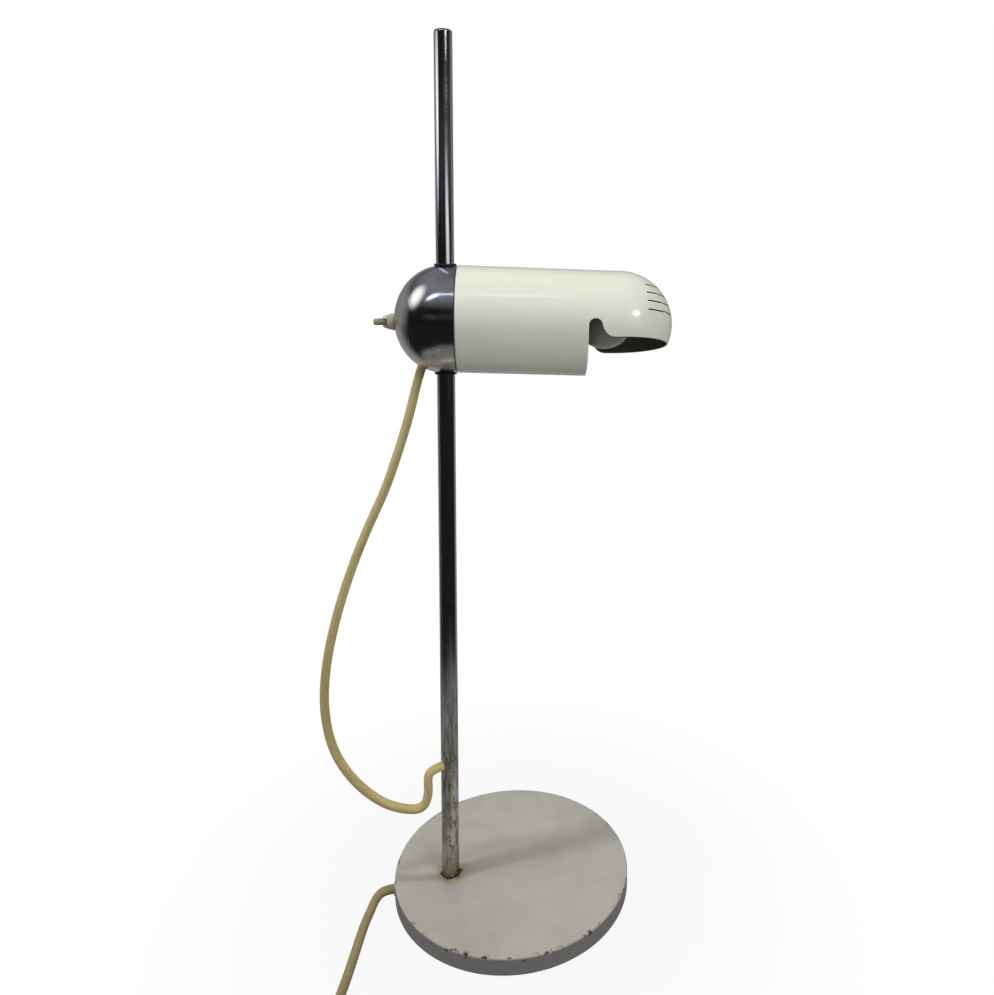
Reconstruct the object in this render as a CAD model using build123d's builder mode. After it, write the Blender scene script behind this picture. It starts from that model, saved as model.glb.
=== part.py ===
"""Desk lamp: an iron disc, an off-centre pole, and a ball that carries a round-nosed shade.

Millimetres, +Z up. The origin is the middle of the disc's underside, on the table.
The shade points along +X. The ball slides and turns on the pole, the shade rolls on the ball.
"""
import os
from math import asin, atan2, cos, degrees, hypot, pi, radians, sin, sqrt, tan

from build123d import *

os.makedirs("parts", exist_ok=True)

# Base
base_diameter = 186.0
base_top = 15.0
base_edge = 1.2
felt_thickness = 1.2
felt_inset = 3.0
pole_inset = 43.5
pole_bearing = 188.0

# Pole and its foot
pole_diameter = 13.5
pole_wall = 1.0
pole_top = 667.0
pole_cap_thickness = 3.0
pole_crown = 2.2
pole_hole_gap = 0.4
flange_diameter = 36.0
flange_thickness = 3.5
recess_ceiling = 9.0
recess_gap = 0.5
foot_screw_count = 3
foot_screw_diameter = 4.0
foot_screw_length = 7.5
foot_screw_head = 7.4
foot_screw_head_depth = 2.0
foot_screw_circle = 25.0
foot_screw_bearing = 8.0

# Cord
cord_diameter = 6.8
cord_gap = 0.2
cord_channel_gap = 0.6
cord_bend = 6.8
cord_hole_height = 107.0
cord_hole_bearing = 209.5
cord_exit_bearing = 187.0
cord_exit_height = 6.6
grommet_wall = 1.5
grommet_length = 8.0
grommet_lip = 0.8

# Ball joint on the pole
head_height = 458.0
ball_radius = 40.0
ball_wall = 1.2
ball_front = 7.9
ball_rim_length = 0.5
ball_rim_wall = 1.0
dome_start = -1.2
dome_depth = 36.2
cap_joint = -23.4
cap_seam = 0.6
cap_spigot_length = 1.4
slide_fit = 0.05
bush_wall = 0.9
bush_spigot_wall = 0.4
bush_shoulder = 3.0
bush_flange_width = 0.75
bush_flange_thickness = 1.0
bush_seat_gap = 0.1
bush_grip = 6.0
spring_thickness = 0.35
spring_length = 36.0
spring_opening = 70.0
ball_cord_angle = 18.0
ball_cord_x = -17.9
ball_cord_z = -35.8
cord_tail_inside = 7.0

# Spigot, holder plate and shade
spigot_step = 9.8
spigot_length = 7.0
ring_width = 4.0
ring_thickness = 2.5
shade_gap = 0.2
shade_wall = 1.0
shade_straight_end = 130.0
shade_shoulder = 2.6
shade_collar_length = 3.6
shade_droop = 1.75
shade_roll = 16.5
cut_depth = 20.0
notch_start = 103.8
notch_radius = 5.0
sweep_radius = 9.35
sweep_end = 123.05
slot_count = 4
slot_pitch = 6.8
slot_low = 0.2
slot_width = 1.1
slot_start = 147.0
plate_thickness = 1.5
plate_depth = 2.0
plate_vent_radius = 3.5
plate_vent_circle = 20.0

# Lamp holder and bulb
nipple_radius = 5.0
nipple_bore = 3.6
nipple_length = 26.0
nut_width = 14.0
nut_thickness = 3.0
holder_radius = 14.0
holder_wall = 2.2
holder_start = 30.0
holder_end = 81.0
holder_neck_radius = 8.0
holder_taper = 12.0
core_thickness = 6.0
bulb_centre = 118.6
bulb_radius = 22.5
bulb_length = 78.0
bulb_glass = 0.8
cap_radius = 6.9
cap_length = 17.0
cap_tip_length = 3.0
cap_wall = 0.4
neck_radius = 8.2
neck_length = 7.0

# Toggle switch
switch_drop = 2.0
switch_depth = 17.0
switch_width = 20.0
switch_height = 13.0
switch_bush_radius = 5.0
nut_base_radius = 6.4
nut_length = 8.4
nut_nose_radius = 3.9
lever_radius = 2.5
lever_tip = -52.8
lever_pivot = -43.6
lever_tail = 4.2
lever_tilt = 12.0
lever_pin_radius = 0.8

# Put-away coil, its tie and the plug
coil_radius = 51.5
coil_gap = 0.45
coil_x = -73.0
coil_y = -176.0
coil_low_half_turns = 6
coil_high_half_turns = 5
tie_thickness = 0.6
tie_width = 5.0
tie_bearing = 300.0
tie_gap = 0.3
tail_level_end = 8.0
tail_drop_end = 18.0
tail_end = 26.0
plug_width = 26.0
plug_thickness = 18.0
plug_body_length = 34.0
plug_relief_length = 22.0
plug_relief_radius = 5.4
pin_radius = 2.4
pin_length = 19.0
pin_spacing = 19.0

# Places worked out from the sizes above
cord_radius = cord_diameter / 2
pole_radius = pole_diameter / 2
pole_offset = base_diameter / 2 - pole_inset
pole_bore = pole_radius - pole_wall
pole_x = pole_offset * cos(radians(pole_bearing))
pole_y = pole_offset * sin(radians(pole_bearing))
flange_bottom = recess_ceiling - flange_thickness
shade_start = ball_front + shade_gap
shade_radius = ball_radius
spigot_radius = ball_radius - spigot_step
switch_z = -switch_drop


def at_pole(height):
    """Level plane centred on the pole."""
    return Plane(origin=(pole_x, pole_y, height))


def from_pole(point):
    """Move a point given beside the pole into the lamp's frame."""
    return (pole_x + point[0], pole_y + point[1], point[2])


head_centre = (pole_x, pole_y, head_height)
head_axis = Axis(head_centre, (1, 0, 0))
head_side = Plane(origin=head_centre, x_dir=(1, 0, 0), z_dir=(0, -1, 0))
roll = radians(shade_roll)
shade_side = Plane(origin=head_centre, x_dir=(1, 0, 0), z_dir=(0, -cos(roll), sin(roll)))
droop = radians(shade_droop)
droop_centre = (pole_x + shade_start + shade_collar_length, pole_y, head_height)
droop_axis = Axis(droop_centre, (cos(droop), 0, -sin(droop)))
droop_side = Plane(origin=droop_centre, x_dir=(cos(droop), 0, -sin(droop)), z_dir=(0, -1, 0))
droop_mitre = Plane(origin=droop_centre, z_dir=(cos(droop / 2), 0, -sin(droop / 2)))


def head_across(x, up=0.0):
    """Plane square to the shade's axis, x in front of the pole's axis."""
    origin = (pole_x + x, pole_y, head_height + up)
    return Plane(origin=origin, x_dir=(0, 1, 0), z_dir=(1, 0, 0))


def shade_across(x):
    """The same, rolled with the shade."""
    origin = (pole_x + x, pole_y, head_height)
    return Plane(origin=origin, x_dir=(0, cos(roll), -sin(roll)), z_dir=(1, 0, 0))


def finish(piece, label):
    """Name a finished piece and write its file."""
    piece.part.label = label
    export_step(piece.part, f"parts/{label}.step")


def corner_radii(points, share=0.45):
    """Largest arc that each corner's two runs allow."""
    radii = []
    for before, here, after in zip(points, points[1:], points[2:]):
        first = Vector(*here) - Vector(*before)
        second = Vector(*after) - Vector(*here)
        half_turn = radians(first.get_angle(second)) / 2
        radii.append(share * min(first.length, second.length) / tan(half_turn))
    return radii


def cord_tube(path_points, radii=None):
    """A round cord swept along straight runs joined by tangent arcs."""
    radii = radii or corner_radii(path_points)
    with BuildPart() as tube:
        with BuildLine() as path:
            FilletPolyline(*path_points, radius=radii)
        wire = path.wire()
        with BuildSketch(Plane(origin=wire @ 0, z_dir=wire % 0)) as section:
            Circle(cord_radius)
        sweep(section.sketch, path=wire)
    length = wire.length
    share = tube.part.volume / (pi * cord_radius**2 * length)
    print(f"cord run {length:.1f} mm, least radius {min(radii):.1f} mm, volume share {share:.4f}")
    return tube, length


# Pole: a chromed tube, closed at the top, with the cord's hole low on its side
hole_dx = cos(radians(cord_hole_bearing))
hole_dy = sin(radians(cord_hole_bearing))
hole_plane = Plane(
    origin=(pole_x, pole_y, cord_hole_height), x_dir=(-hole_dy, hole_dx, 0), z_dir=(hole_dx, hole_dy, 0)
)
leg_offset = pole_bore - cord_radius - cord_gap
leg_x = pole_x - leg_offset * hole_dx
leg_y = pole_y - leg_offset * hole_dy
base_radius = base_diameter / 2
exit_dx = cos(radians(cord_exit_bearing))
exit_dy = sin(radians(cord_exit_bearing))
exit_x = base_radius * exit_dx
exit_y = base_radius * exit_dy
channel_length = hypot(exit_x - leg_x, exit_y - leg_y)
channel_dx = (exit_x - leg_x) / channel_length
channel_dy = (exit_y - leg_y) / channel_length
channel_plane = Plane(
    origin=(leg_x, leg_y, cord_exit_height), x_dir=(-channel_dy, channel_dx, 0), z_dir=(channel_dx, channel_dy, 0)
)
channel_width = cord_diameter + 2 * cord_channel_gap
channel_top = cord_radius + cord_channel_gap


def cord_channel(length):
    """Cut the cord's way from under the pole towards the rim, open below."""
    with BuildSketch(channel_plane) as way:
        with Locations((0, (channel_top - cord_exit_height) / 2)):
            Rectangle(channel_width, channel_top + cord_exit_height)
    extrude(way.sketch, amount=length, mode=Mode.SUBTRACT)


with BuildPart() as pole:
    with BuildSketch(at_pole(flange_bottom)):
        Circle(pole_radius)
    extrude(amount=pole_top - flange_bottom)
    fillet(pole.edges().group_by(Axis.Z)[-1], radius=pole_crown)
    with BuildSketch(at_pole(flange_bottom)):
        Circle(pole_bore)
    extrude(amount=pole_top - pole_cap_thickness - flange_bottom, mode=Mode.SUBTRACT)
    with BuildSketch(hole_plane):
        Circle(cord_radius + cord_gap)
    extrude(amount=pole_radius + 1, mode=Mode.SUBTRACT)
    cord_channel(2 * pole_radius)
finish(pole, "pole")

# Flange brazed round the pole's end, open on the cord's side, and its screws
with BuildPart() as pole_flange:
    with BuildSketch(at_pole(flange_bottom)):
        Circle(flange_diameter / 2)
        Circle(pole_radius + 0.02, mode=Mode.SUBTRACT)
    extrude(amount=flange_thickness)
    with Locations(at_pole(flange_bottom)):
        with PolarLocations(foot_screw_circle / 2, foot_screw_count, start_angle=foot_screw_bearing):
            Cylinder(foot_screw_diameter / 2 + 0.2, flange_thickness * 3, mode=Mode.SUBTRACT)
            Cone(
                foot_screw_head / 2 + 0.2,
                foot_screw_diameter / 2 + 0.2,
                foot_screw_head_depth,
                align=(Align.CENTER, Align.CENTER, Align.MIN),
                mode=Mode.SUBTRACT,
            )
    cord_channel(flange_diameter)
finish(pole_flange, "pole_flange")

with BuildPart() as foot_screws:
    with Locations(at_pole(flange_bottom)):
        with PolarLocations(foot_screw_circle / 2, foot_screw_count, start_angle=foot_screw_bearing):
            Cone(
                foot_screw_head / 2,
                foot_screw_diameter / 2,
                foot_screw_head_depth,
                align=(Align.CENTER, Align.CENTER, Align.MIN),
            )
            Cylinder(
                foot_screw_diameter / 2,
                foot_screw_length,
                align=(Align.CENTER, Align.CENTER, Align.MIN),
            )
            Box(
                foot_screw_head * 2,
                1.0,
                1.0,
                align=(Align.CENTER, Align.CENTER, Align.MIN),
                mode=Mode.SUBTRACT,
            )
finish(foot_screws, "foot_screws")

# Base: a painted iron disc with the pole's hole, the flange's recess and the cord's channel below
with BuildPart() as base_plate:
    with BuildSketch(Plane.XY.offset(felt_thickness)):
        Circle(base_radius)
    extrude(amount=base_top - felt_thickness)
    fillet(base_plate.edges().group_by(Axis.Z)[-1], radius=base_edge)
    chamfer(base_plate.edges().group_by(Axis.Z)[0], length=base_edge / 2)
    with BuildSketch(at_pole(felt_thickness)):
        Circle(pole_radius + pole_hole_gap)
    extrude(amount=base_top, mode=Mode.SUBTRACT)
    with BuildSketch(at_pole(felt_thickness)):
        Circle(flange_diameter / 2 + recess_gap)
    extrude(amount=recess_ceiling - felt_thickness, mode=Mode.SUBTRACT)
    with Locations(at_pole(recess_ceiling)):
        with PolarLocations(foot_screw_circle / 2, foot_screw_count, start_angle=foot_screw_bearing):
            Cylinder(
                foot_screw_diameter / 2 + 0.05,
                foot_screw_length - flange_thickness + 0.3,
                align=(Align.CENTER, Align.CENTER, Align.MIN),
                mode=Mode.SUBTRACT,
            )
    cord_channel(channel_length - grommet_length)
    with BuildSketch(channel_plane):
        Circle(cord_radius + cord_gap / 2 + grommet_wall + 0.05)
    extrude(amount=channel_length + 5, mode=Mode.SUBTRACT)
finish(base_plate, "base_plate")

with BuildPart() as base_felt:
    with BuildSketch(Plane.XY):
        Circle(base_radius - felt_inset)
    extrude(amount=felt_thickness)
finish(base_felt, "base_felt")

with BuildPart() as cord_grommet:
    with BuildSketch(channel_plane.offset(channel_length - grommet_length)):
        Circle(cord_radius + cord_gap / 2 + grommet_wall)
        Circle(cord_radius + cord_gap / 2, mode=Mode.SUBTRACT)
    extrude(amount=grommet_length + grommet_lip)
    fillet(cord_grommet.edges().sort_by(Axis.X)[0], radius=grommet_wall / 3)
finish(cord_grommet, "cord_grommet")

# The cord inside the pole and the base, from the side hole to the rim
hole_mouth = (
    pole_x + pole_radius * hole_dx,
    pole_y + pole_radius * hole_dy,
    cord_hole_height,
)
cord_way_out = (exit_x + grommet_lip * channel_dx, exit_y + grommet_lip * channel_dy, cord_exit_height)
cord_inner, inner_length = cord_tube(
    [hole_mouth, (leg_x, leg_y, cord_hole_height), (leg_x, leg_y, cord_exit_height), cord_way_out],
    [cord_bend - 0.1, cord_bend],
)
finish(cord_inner, "cord_inner")

# Free loop of cord from the ball to the pole, chosen beside the pole's axis and height
join_point = (-35.6, -1.5, 359.5)
upper_route = [
    (-25.3, -0.7, 394.6),
    (-29.9, -1.1, 377.0),
]
lower_route = [
    (-41.3, -1.9, 342.0),
    (-48.2, -2.5, 324.0),
    (-62.9, -3.5, 292.5),
    (-75.5, -5.0, 258.8),
    (-85.6, -6.5, 225.0),
    (-92.4, -8.0, 191.2),
    (-94.0, -9.3, 160.0),
    (-88.2, -10.0, 128.0),
    (-73.0, -10.3, 102.5),
    (-52.5, -10.4, 85.8),
    (-35.0, -10.2, 79.6),
    (-23.6, -9.8, 81.0),
    (-17.2, -9.5, 90.0),
]
hole_run = 7.0
hole_drop = 5.0


exit_slope = radians(ball_cord_angle)
ball_exit = (ball_cord_x, 0.0, head_height + ball_cord_z)
ball_inside = (
    ball_cord_x + cord_tail_inside * sin(exit_slope),
    0.0,
    head_height + ball_cord_z + cord_tail_inside * cos(exit_slope),
)
ball_below = (
    ball_cord_x - 1.6 * cord_diameter * sin(exit_slope),
    0.0,
    head_height + ball_cord_z - 1.6 * cord_diameter * cos(exit_slope),
)
hole_before = hole_plane.from_local_coords((0, 0, pole_radius + hole_run))
hole_below = hole_plane.from_local_coords((0, -hole_drop, pole_radius + hole_run + hole_drop))
cord_upper, upper_length = cord_tube(
    [from_pole(p) for p in [ball_inside, ball_below] + upper_route + [join_point]]
)
finish(cord_upper, "cord_upper")
cord_lower, lower_length = cord_tube(
    [from_pole(p) for p in [join_point] + lower_route]
    + [tuple(hole_below), tuple(hole_before), hole_mouth]
)
finish(cord_lower, "cord_lower")
print(f"free loop {upper_length + lower_length:.0f} mm")

# Bushes at the ball's top and bottom, the tube that joins them and the spring that grips the pole
bush_bore = pole_radius + slide_fit
bush_radius = bush_bore + bush_wall
bush_spigot = bush_bore + bush_spigot_wall
flange_seat = ball_radius + bush_seat_gap
slide_tube_end = ball_radius - bush_shoulder


def bush(side):
    """A stepped and flanged collar on the pole, above (1) or below (-1) the ball."""
    steps = (
        (slide_tube_end - bush_grip, flange_seat, bush_spigot),
        (slide_tube_end, flange_seat, bush_radius),
        (flange_seat, flange_seat + bush_flange_thickness, bush_radius + bush_flange_width),
    )
    with BuildPart() as collar:
        for start, end, radius in steps:
            with Locations(at_pole(head_height + side * (start + end) / 2)):
                Cylinder(radius, end - start)
        outer = collar.faces().filter_by(Axis.Z).sort_by(Axis.Z)[-1 if side > 0 else 0]
        fillet(outer.edges(), radius=bush_flange_thickness / 2)
        with Locations(at_pole(head_height + side * ball_radius)):
            Cylinder(bush_bore, 2 * ball_radius, mode=Mode.SUBTRACT)
    return collar


upper_bush = bush(1)
finish(upper_bush, "upper_bush")
lower_bush = bush(-1)
finish(lower_bush, "lower_bush")

with BuildPart() as slide_tube:
    with BuildSketch(at_pole(head_height - slide_tube_end)):
        Circle(bush_radius)
        Circle(bush_spigot + 0.02, mode=Mode.SUBTRACT)
    extrude(amount=2 * slide_tube_end)
finish(slide_tube, "slide_tube")

with BuildPart() as grip_spring:
    with BuildSketch(at_pole(head_height - spring_length / 2)):
        Circle(bush_bore + spring_thickness)
        Circle(bush_bore, mode=Mode.SUBTRACT)
        with BuildLine():
            far = 2 * bush_bore
            side_y = far * tan(radians(spring_opening / 2))
            Polyline((0, 0), (-far, side_y), (-far, -side_y), close=True)
        make_face(mode=Mode.SUBTRACT)
    extrude(amount=spring_length)
finish(grip_spring, "grip_spring")


# Ball: a chromed shell with a cylindrical waist, an oval rear dome and a front spigot
def dome_radius(x, inset=0.0):
    """Radius of the rear dome at x, for the outside or the inside of its wall."""
    share = (dome_start - x) / (dome_depth - inset)
    return (ball_radius - inset) * sqrt(1 - share**2)


def dome_angle(x, inset=0.0):
    """Ellipse angle at x on the dome, measured from the front."""
    return 90 + degrees(asin((dome_start - x) / (dome_depth - inset)))


def dome_arc(front, rear, inset=0.0):
    """Arc of the dome's outline from front to rear."""
    start = dome_angle(front, inset)
    size = dome_angle(rear, inset) - start
    centre = (dome_start, 0)
    return EllipticalCenterArc(centre, dome_depth - inset, ball_radius - inset, start, arc_size=size)


inner_radius = ball_radius - ball_wall
ball_rim = ball_front + ball_rim_length
spigot_bore = spigot_radius - ball_wall
spigot_end = ball_front + spigot_length
lip_radius = dome_radius(cap_joint) - ball_wall
with BuildPart() as ball_shell:
    with BuildSketch(head_side):
        with BuildLine():
            outside = dome_arc(dome_start, cap_joint)
            Polyline(
                outside @ 0,
                (ball_rim, ball_radius),
                (ball_rim, ball_radius - ball_rim_wall),
                (ball_front, ball_radius - ball_rim_wall),
                (ball_front, spigot_radius),
                (spigot_end, spigot_radius),
                (spigot_end, 0),
                (cap_joint, 0),
                outside @ 1,
            )
        make_face()
        with BuildLine():
            inner_depth = cap_joint + ball_wall
            inside = dome_arc(dome_start, inner_depth, ball_wall)
            wall_front = ball_front - ball_wall
            Polyline(
                inside @ 0,
                (wall_front, inner_radius),
                (wall_front, spigot_bore),
                (spigot_end, spigot_bore),
                (spigot_end, 0),
                (cap_joint, 0),
                (cap_joint, lip_radius),
                (inner_depth, lip_radius),
                inside @ 1,
            )
        make_face(mode=Mode.SUBTRACT)
    revolve(axis=head_axis)
    with BuildSketch(at_pole(head_height - 1.5 * ball_radius)):
        Circle(bush_radius + slide_fit)
    extrude(amount=3 * ball_radius, mode=Mode.SUBTRACT)
    cord_hole_plane = Plane(origin=from_pole(ball_exit), z_dir=(-sin(exit_slope), 0, -cos(exit_slope)))
    with BuildSketch(cord_hole_plane.offset(-cord_tail_inside)):
        Circle(cord_radius + cord_gap)
    extrude(amount=3 * cord_tail_inside, mode=Mode.SUBTRACT)
finish(ball_shell, "ball_shell")

# Rear cap: the dome's end, pressed into the shell behind a thin seam
cap_apex = dome_start - dome_depth
cap_front = cap_joint - cap_seam
cap_spigot_radius = lip_radius - 0.02
cap_spigot_end = cap_joint + ball_wall + cap_spigot_length
with BuildPart() as rear_cap:
    with BuildSketch(head_side):
        with BuildLine():
            outside = dome_arc(cap_front, cap_apex)
            Line(outside @ 1, (cap_spigot_end, 0))
            Polyline(
                (cap_spigot_end, 0),
                (cap_spigot_end, cap_spigot_radius),
                (cap_front, cap_spigot_radius),
                outside @ 0,
            )
        make_face()
        with BuildLine():
            bore = cap_spigot_radius - ball_wall
            inside_x = dome_start - (dome_depth - ball_wall) * sqrt(1 - (bore / inner_radius) ** 2)
            inside = dome_arc(inside_x, cap_apex + ball_wall, ball_wall)
            Polyline(inside @ 1, (cap_spigot_end, 0), (cap_spigot_end, bore), inside @ 0)
        make_face(mode=Mode.SUBTRACT)
    revolve(axis=head_axis)
    with BuildSketch(head_across(dome_start, switch_z)):
        Circle(switch_bush_radius + cord_gap)
    extrude(amount=-2 * dome_depth, mode=Mode.SUBTRACT)
finish(rear_cap, "rear_cap")

# Toggle switch: body and threaded bush inside, domed nut and lever outside
switch_back = cap_apex + ball_wall + 2.0
nut_base = cap_apex
nut_front = nut_base - nut_length
pin_axis_plane = Plane(origin=from_pole((lever_pivot, 0, head_height + switch_z)))
lever_clear = lever_radius + 0.05
nut_mouth = lever_clear + 0.9


lever_plane = Plane(
    origin=from_pole((lever_pivot, 0, head_height + switch_z)),
    x_dir=(0, 0, 1),
    z_dir=(-cos(radians(lever_tilt)), -sin(radians(lever_tilt)), 0),
)
with BuildPart() as switch_lever:
    with BuildSketch(lever_plane.offset(-lever_tail)):
        Circle(lever_radius)
    extrude(amount=lever_pivot - lever_tip + lever_tail)
    fillet(switch_lever.edges().sort_by(Axis.X)[0], radius=lever_radius * 0.7)
    with BuildSketch(pin_axis_plane.offset(-lever_radius * 2)):
        Circle(lever_pin_radius + 0.05)
    extrude(amount=lever_radius * 4, mode=Mode.SUBTRACT)
finish(switch_lever, "switch_lever")

with BuildPart() as switch_nut:
    nut_axis = Axis(from_pole((0, 0, head_height + switch_z)), (1, 0, 0))
    nut_side = Plane(
        origin=from_pole((0, 0, head_height + switch_z)), x_dir=(1, 0, 0), z_dir=(0, -1, 0)
    )
    with BuildSketch(nut_side):
        with BuildLine():
            crown = TangentArc((nut_base, nut_base_radius), (nut_front, nut_nose_radius), tangent=(-1, -0.12))
            Polyline(crown @ 1, (nut_front, 0), (nut_base, 0), crown @ 0)
        make_face()
    revolve(axis=nut_axis)
    with BuildSketch(head_across(nut_base, switch_z)):
        Circle(switch_bush_radius + 0.02)
    extrude(amount=-(nut_base - lever_pivot - lever_clear + 0.1), mode=Mode.SUBTRACT)
    with BuildSketch(pin_axis_plane.offset(-lever_clear)):
        SlotCenterToCenter(2 * lever_clear * tan(radians(lever_tilt)) + 2 * lever_clear, 2 * lever_clear, 90)
    extrude(amount=2 * lever_clear, mode=Mode.SUBTRACT)
    with BuildSketch(head_across(lever_pivot + lever_clear, switch_z)):
        Circle(nut_mouth)
    extrude(amount=-nut_length, mode=Mode.SUBTRACT)
    with BuildSketch(pin_axis_plane.offset(-nut_base_radius)):
        Circle(lever_pin_radius + 0.02)
    extrude(amount=2 * nut_base_radius, mode=Mode.SUBTRACT)
finish(switch_nut, "switch_nut")

with BuildPart() as lever_pin:
    pin_reach = nut_mouth + 0.5
    with BuildSketch(pin_axis_plane.offset(-pin_reach)):
        Circle(lever_pin_radius)
    extrude(amount=2 * pin_reach)
finish(lever_pin, "lever_pin")

bush_end = lever_pivot + lever_tail + 0.6
with BuildPart() as switch_body:
    with BuildSketch(head_across(switch_back, switch_z)):
        Rectangle(switch_width, switch_height)
    extrude(amount=switch_depth)
    chamfer(switch_body.edges().filter_by(Axis.X), length=1.0)
    with BuildSketch(head_across(switch_back, switch_z)):
        Circle(switch_bush_radius)
    extrude(amount=-(switch_back - bush_end))
    with BuildSketch(head_across(switch_back + 2, switch_z)):
        Circle(nut_mouth)
    extrude(amount=-(switch_back + 2 - bush_end), mode=Mode.SUBTRACT)
finish(switch_body, "switch_body")

# Retaining ring, holder plate and nipple on the ball's front
ring_start = shade_start + shade_wall + shade_gap
with BuildPart() as shade_ring:
    with BuildSketch(head_across(ring_start)):
        Circle(spigot_radius + ring_width)
        Circle(spigot_radius + 0.02, mode=Mode.SUBTRACT)
    extrude(amount=ring_thickness)
    chamfer(shade_ring.edges().sort_by(Axis.X)[-1], length=0.6)
finish(shade_ring, "shade_ring")

plate_start = spigot_end - plate_depth
with BuildPart() as holder_plate:
    with BuildSketch(head_across(plate_start)):
        Circle(spigot_bore - 0.02)
        Circle(nipple_radius + 0.05, mode=Mode.SUBTRACT)
        with PolarLocations(plate_vent_circle, 6, start_angle=30):
            Circle(plate_vent_radius, mode=Mode.SUBTRACT)
    extrude(amount=plate_thickness)
finish(holder_plate, "holder_plate")

nipple_start = plate_start - nut_thickness - 0.5
with BuildPart() as holder_nipple:
    with BuildSketch(head_across(nipple_start)):
        Circle(nipple_radius)
        Circle(nipple_bore, mode=Mode.SUBTRACT)
    extrude(amount=nipple_length)
finish(holder_nipple, "holder_nipple")

with BuildPart() as nipple_nuts:
    for start in (plate_start - nut_thickness, plate_start + plate_thickness):
        with BuildSketch(head_across(start)):
            RegularPolygon(nut_width / 2, 6, major_radius=False)
            Circle(nipple_radius + 0.02, mode=Mode.SUBTRACT)
        extrude(amount=nut_thickness)
finish(nipple_nuts, "nipple_nuts")

# Lamp holder: a moulded skirt on the nipple with a ceramic core
bulb_end = bulb_centre + bulb_radius - bulb_length
core_end = bulb_end - 0.3
nipple_end = nipple_start + nipple_length
with BuildPart() as lamp_holder:
    with BuildSketch(head_side):
        with BuildLine():
            Polyline(
                (holder_start, nipple_radius + 0.02),
                (holder_start, holder_neck_radius),
                (holder_start + holder_taper, holder_radius),
                (holder_end, holder_radius),
                (holder_end, holder_radius - holder_wall),
                (holder_start + holder_taper, holder_radius - holder_wall),
                (nipple_end + 1.0, holder_neck_radius - 1.0),
                (nipple_end + 1.0, nipple_radius + 0.02),
                close=True,
            )
        make_face()
    revolve(axis=head_axis)
    rim = lamp_holder.edges().filter_by(GeomType.CIRCLE).group_by(Axis.X)[-1]
    fillet(rim.sort_by(SortBy.RADIUS)[-1], radius=0.9)
finish(lamp_holder, "lamp_holder")

with BuildPart() as holder_core:
    with BuildSketch(head_across(core_end - core_thickness)):
        Circle(holder_radius - holder_wall - 0.05)
        with PolarLocations(nipple_radius + 2.5, 2):
            Circle(1.4, mode=Mode.SUBTRACT)
    extrude(amount=core_thickness)
    with BuildSketch(head_across(core_end)):
        Circle(holder_radius - holder_wall - 0.05)
        Circle(cap_radius + 0.25, mode=Mode.SUBTRACT)
    extrude(amount=cap_tip_length + cap_length)
finish(holder_core, "holder_core")

# Bulb: an opal golf-ball glass on a small screw cap
cap_end = bulb_end + cap_tip_length + cap_length
with BuildPart() as bulb_cap:
    with BuildSketch(head_side):
        with BuildLine():
            Polyline(
                (bulb_end, 0),
                (bulb_end, 2.4),
                (bulb_end + cap_tip_length, cap_radius - 1.2),
                (bulb_end + cap_tip_length, cap_radius),
                (cap_end, cap_radius),
                (cap_end, cap_radius - cap_wall),
                (bulb_end + cap_tip_length + 1, cap_radius - cap_wall),
                (bulb_end + cap_tip_length + 1, 0),
                close=True,
            )
        make_face()
    revolve(axis=head_axis)
finish(bulb_cap, "bulb_cap")


def bulb_outline(inset):
    """Half outline of the glass: ball, hollow neck curve and straight neck."""
    ball = bulb_radius - inset
    neck = neck_radius - inset
    neck_end = cap_end + 0.05
    bend = 10.0 + inset
    across = sqrt((ball + bend) ** 2 - (neck + bend) ** 2)
    bend_x = bulb_centre - across
    meet = (bulb_centre - ball * across / (ball + bend), ball * (neck + bend) / (ball + bend))
    with BuildLine() as outline:
        throat = RadiusArc((bend_x, neck), meet, bend)
        Line(throat @ 0, (neck_end, neck))
        Line((neck_end, neck), (neck_end, 0))
        Line((neck_end, 0), (bulb_centre + ball, 0))
        ThreePointArc(
            (bulb_centre + ball, 0),
            (bulb_centre + ball * cos(radians(60)), ball * sin(radians(60))),
            throat @ 1,
        )
    return outline.edges()


with BuildPart() as bulb:
    with BuildSketch(head_side):
        make_face(bulb_outline(0.0))
        make_face(bulb_outline(bulb_glass), mode=Mode.SUBTRACT)
    revolve(axis=head_axis)
finish(bulb, "bulb")

# Shade's body: a round-nosed shell that droops a little from its collar
shade_bore = shade_radius - shade_wall
body_straight = shade_straight_end - shade_start - shade_collar_length
body_nose = body_straight + shade_radius
with BuildPart() as shade_body:
    with BuildSketch(droop_side):
        with BuildLine():
            top = Line((-shade_collar_length, shade_radius), (body_straight, shade_radius))
            nose_arc = TangentArc(top @ 1, (body_nose, 0), tangent=(1, 0))
            Line(nose_arc @ 1, (body_nose - shade_wall, 0))
            inner_nose = RadiusArc((body_nose - shade_wall, 0), (body_straight, shade_bore), -shade_bore)
            inner_top = Line(inner_nose @ 1, (-shade_collar_length, shade_bore))
            Line(inner_top @ 1, top @ 0)
        make_face()
    revolve(axis=droop_axis)
    split(bisect_by=droop_mitre, keep=Keep.TOP)

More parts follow.
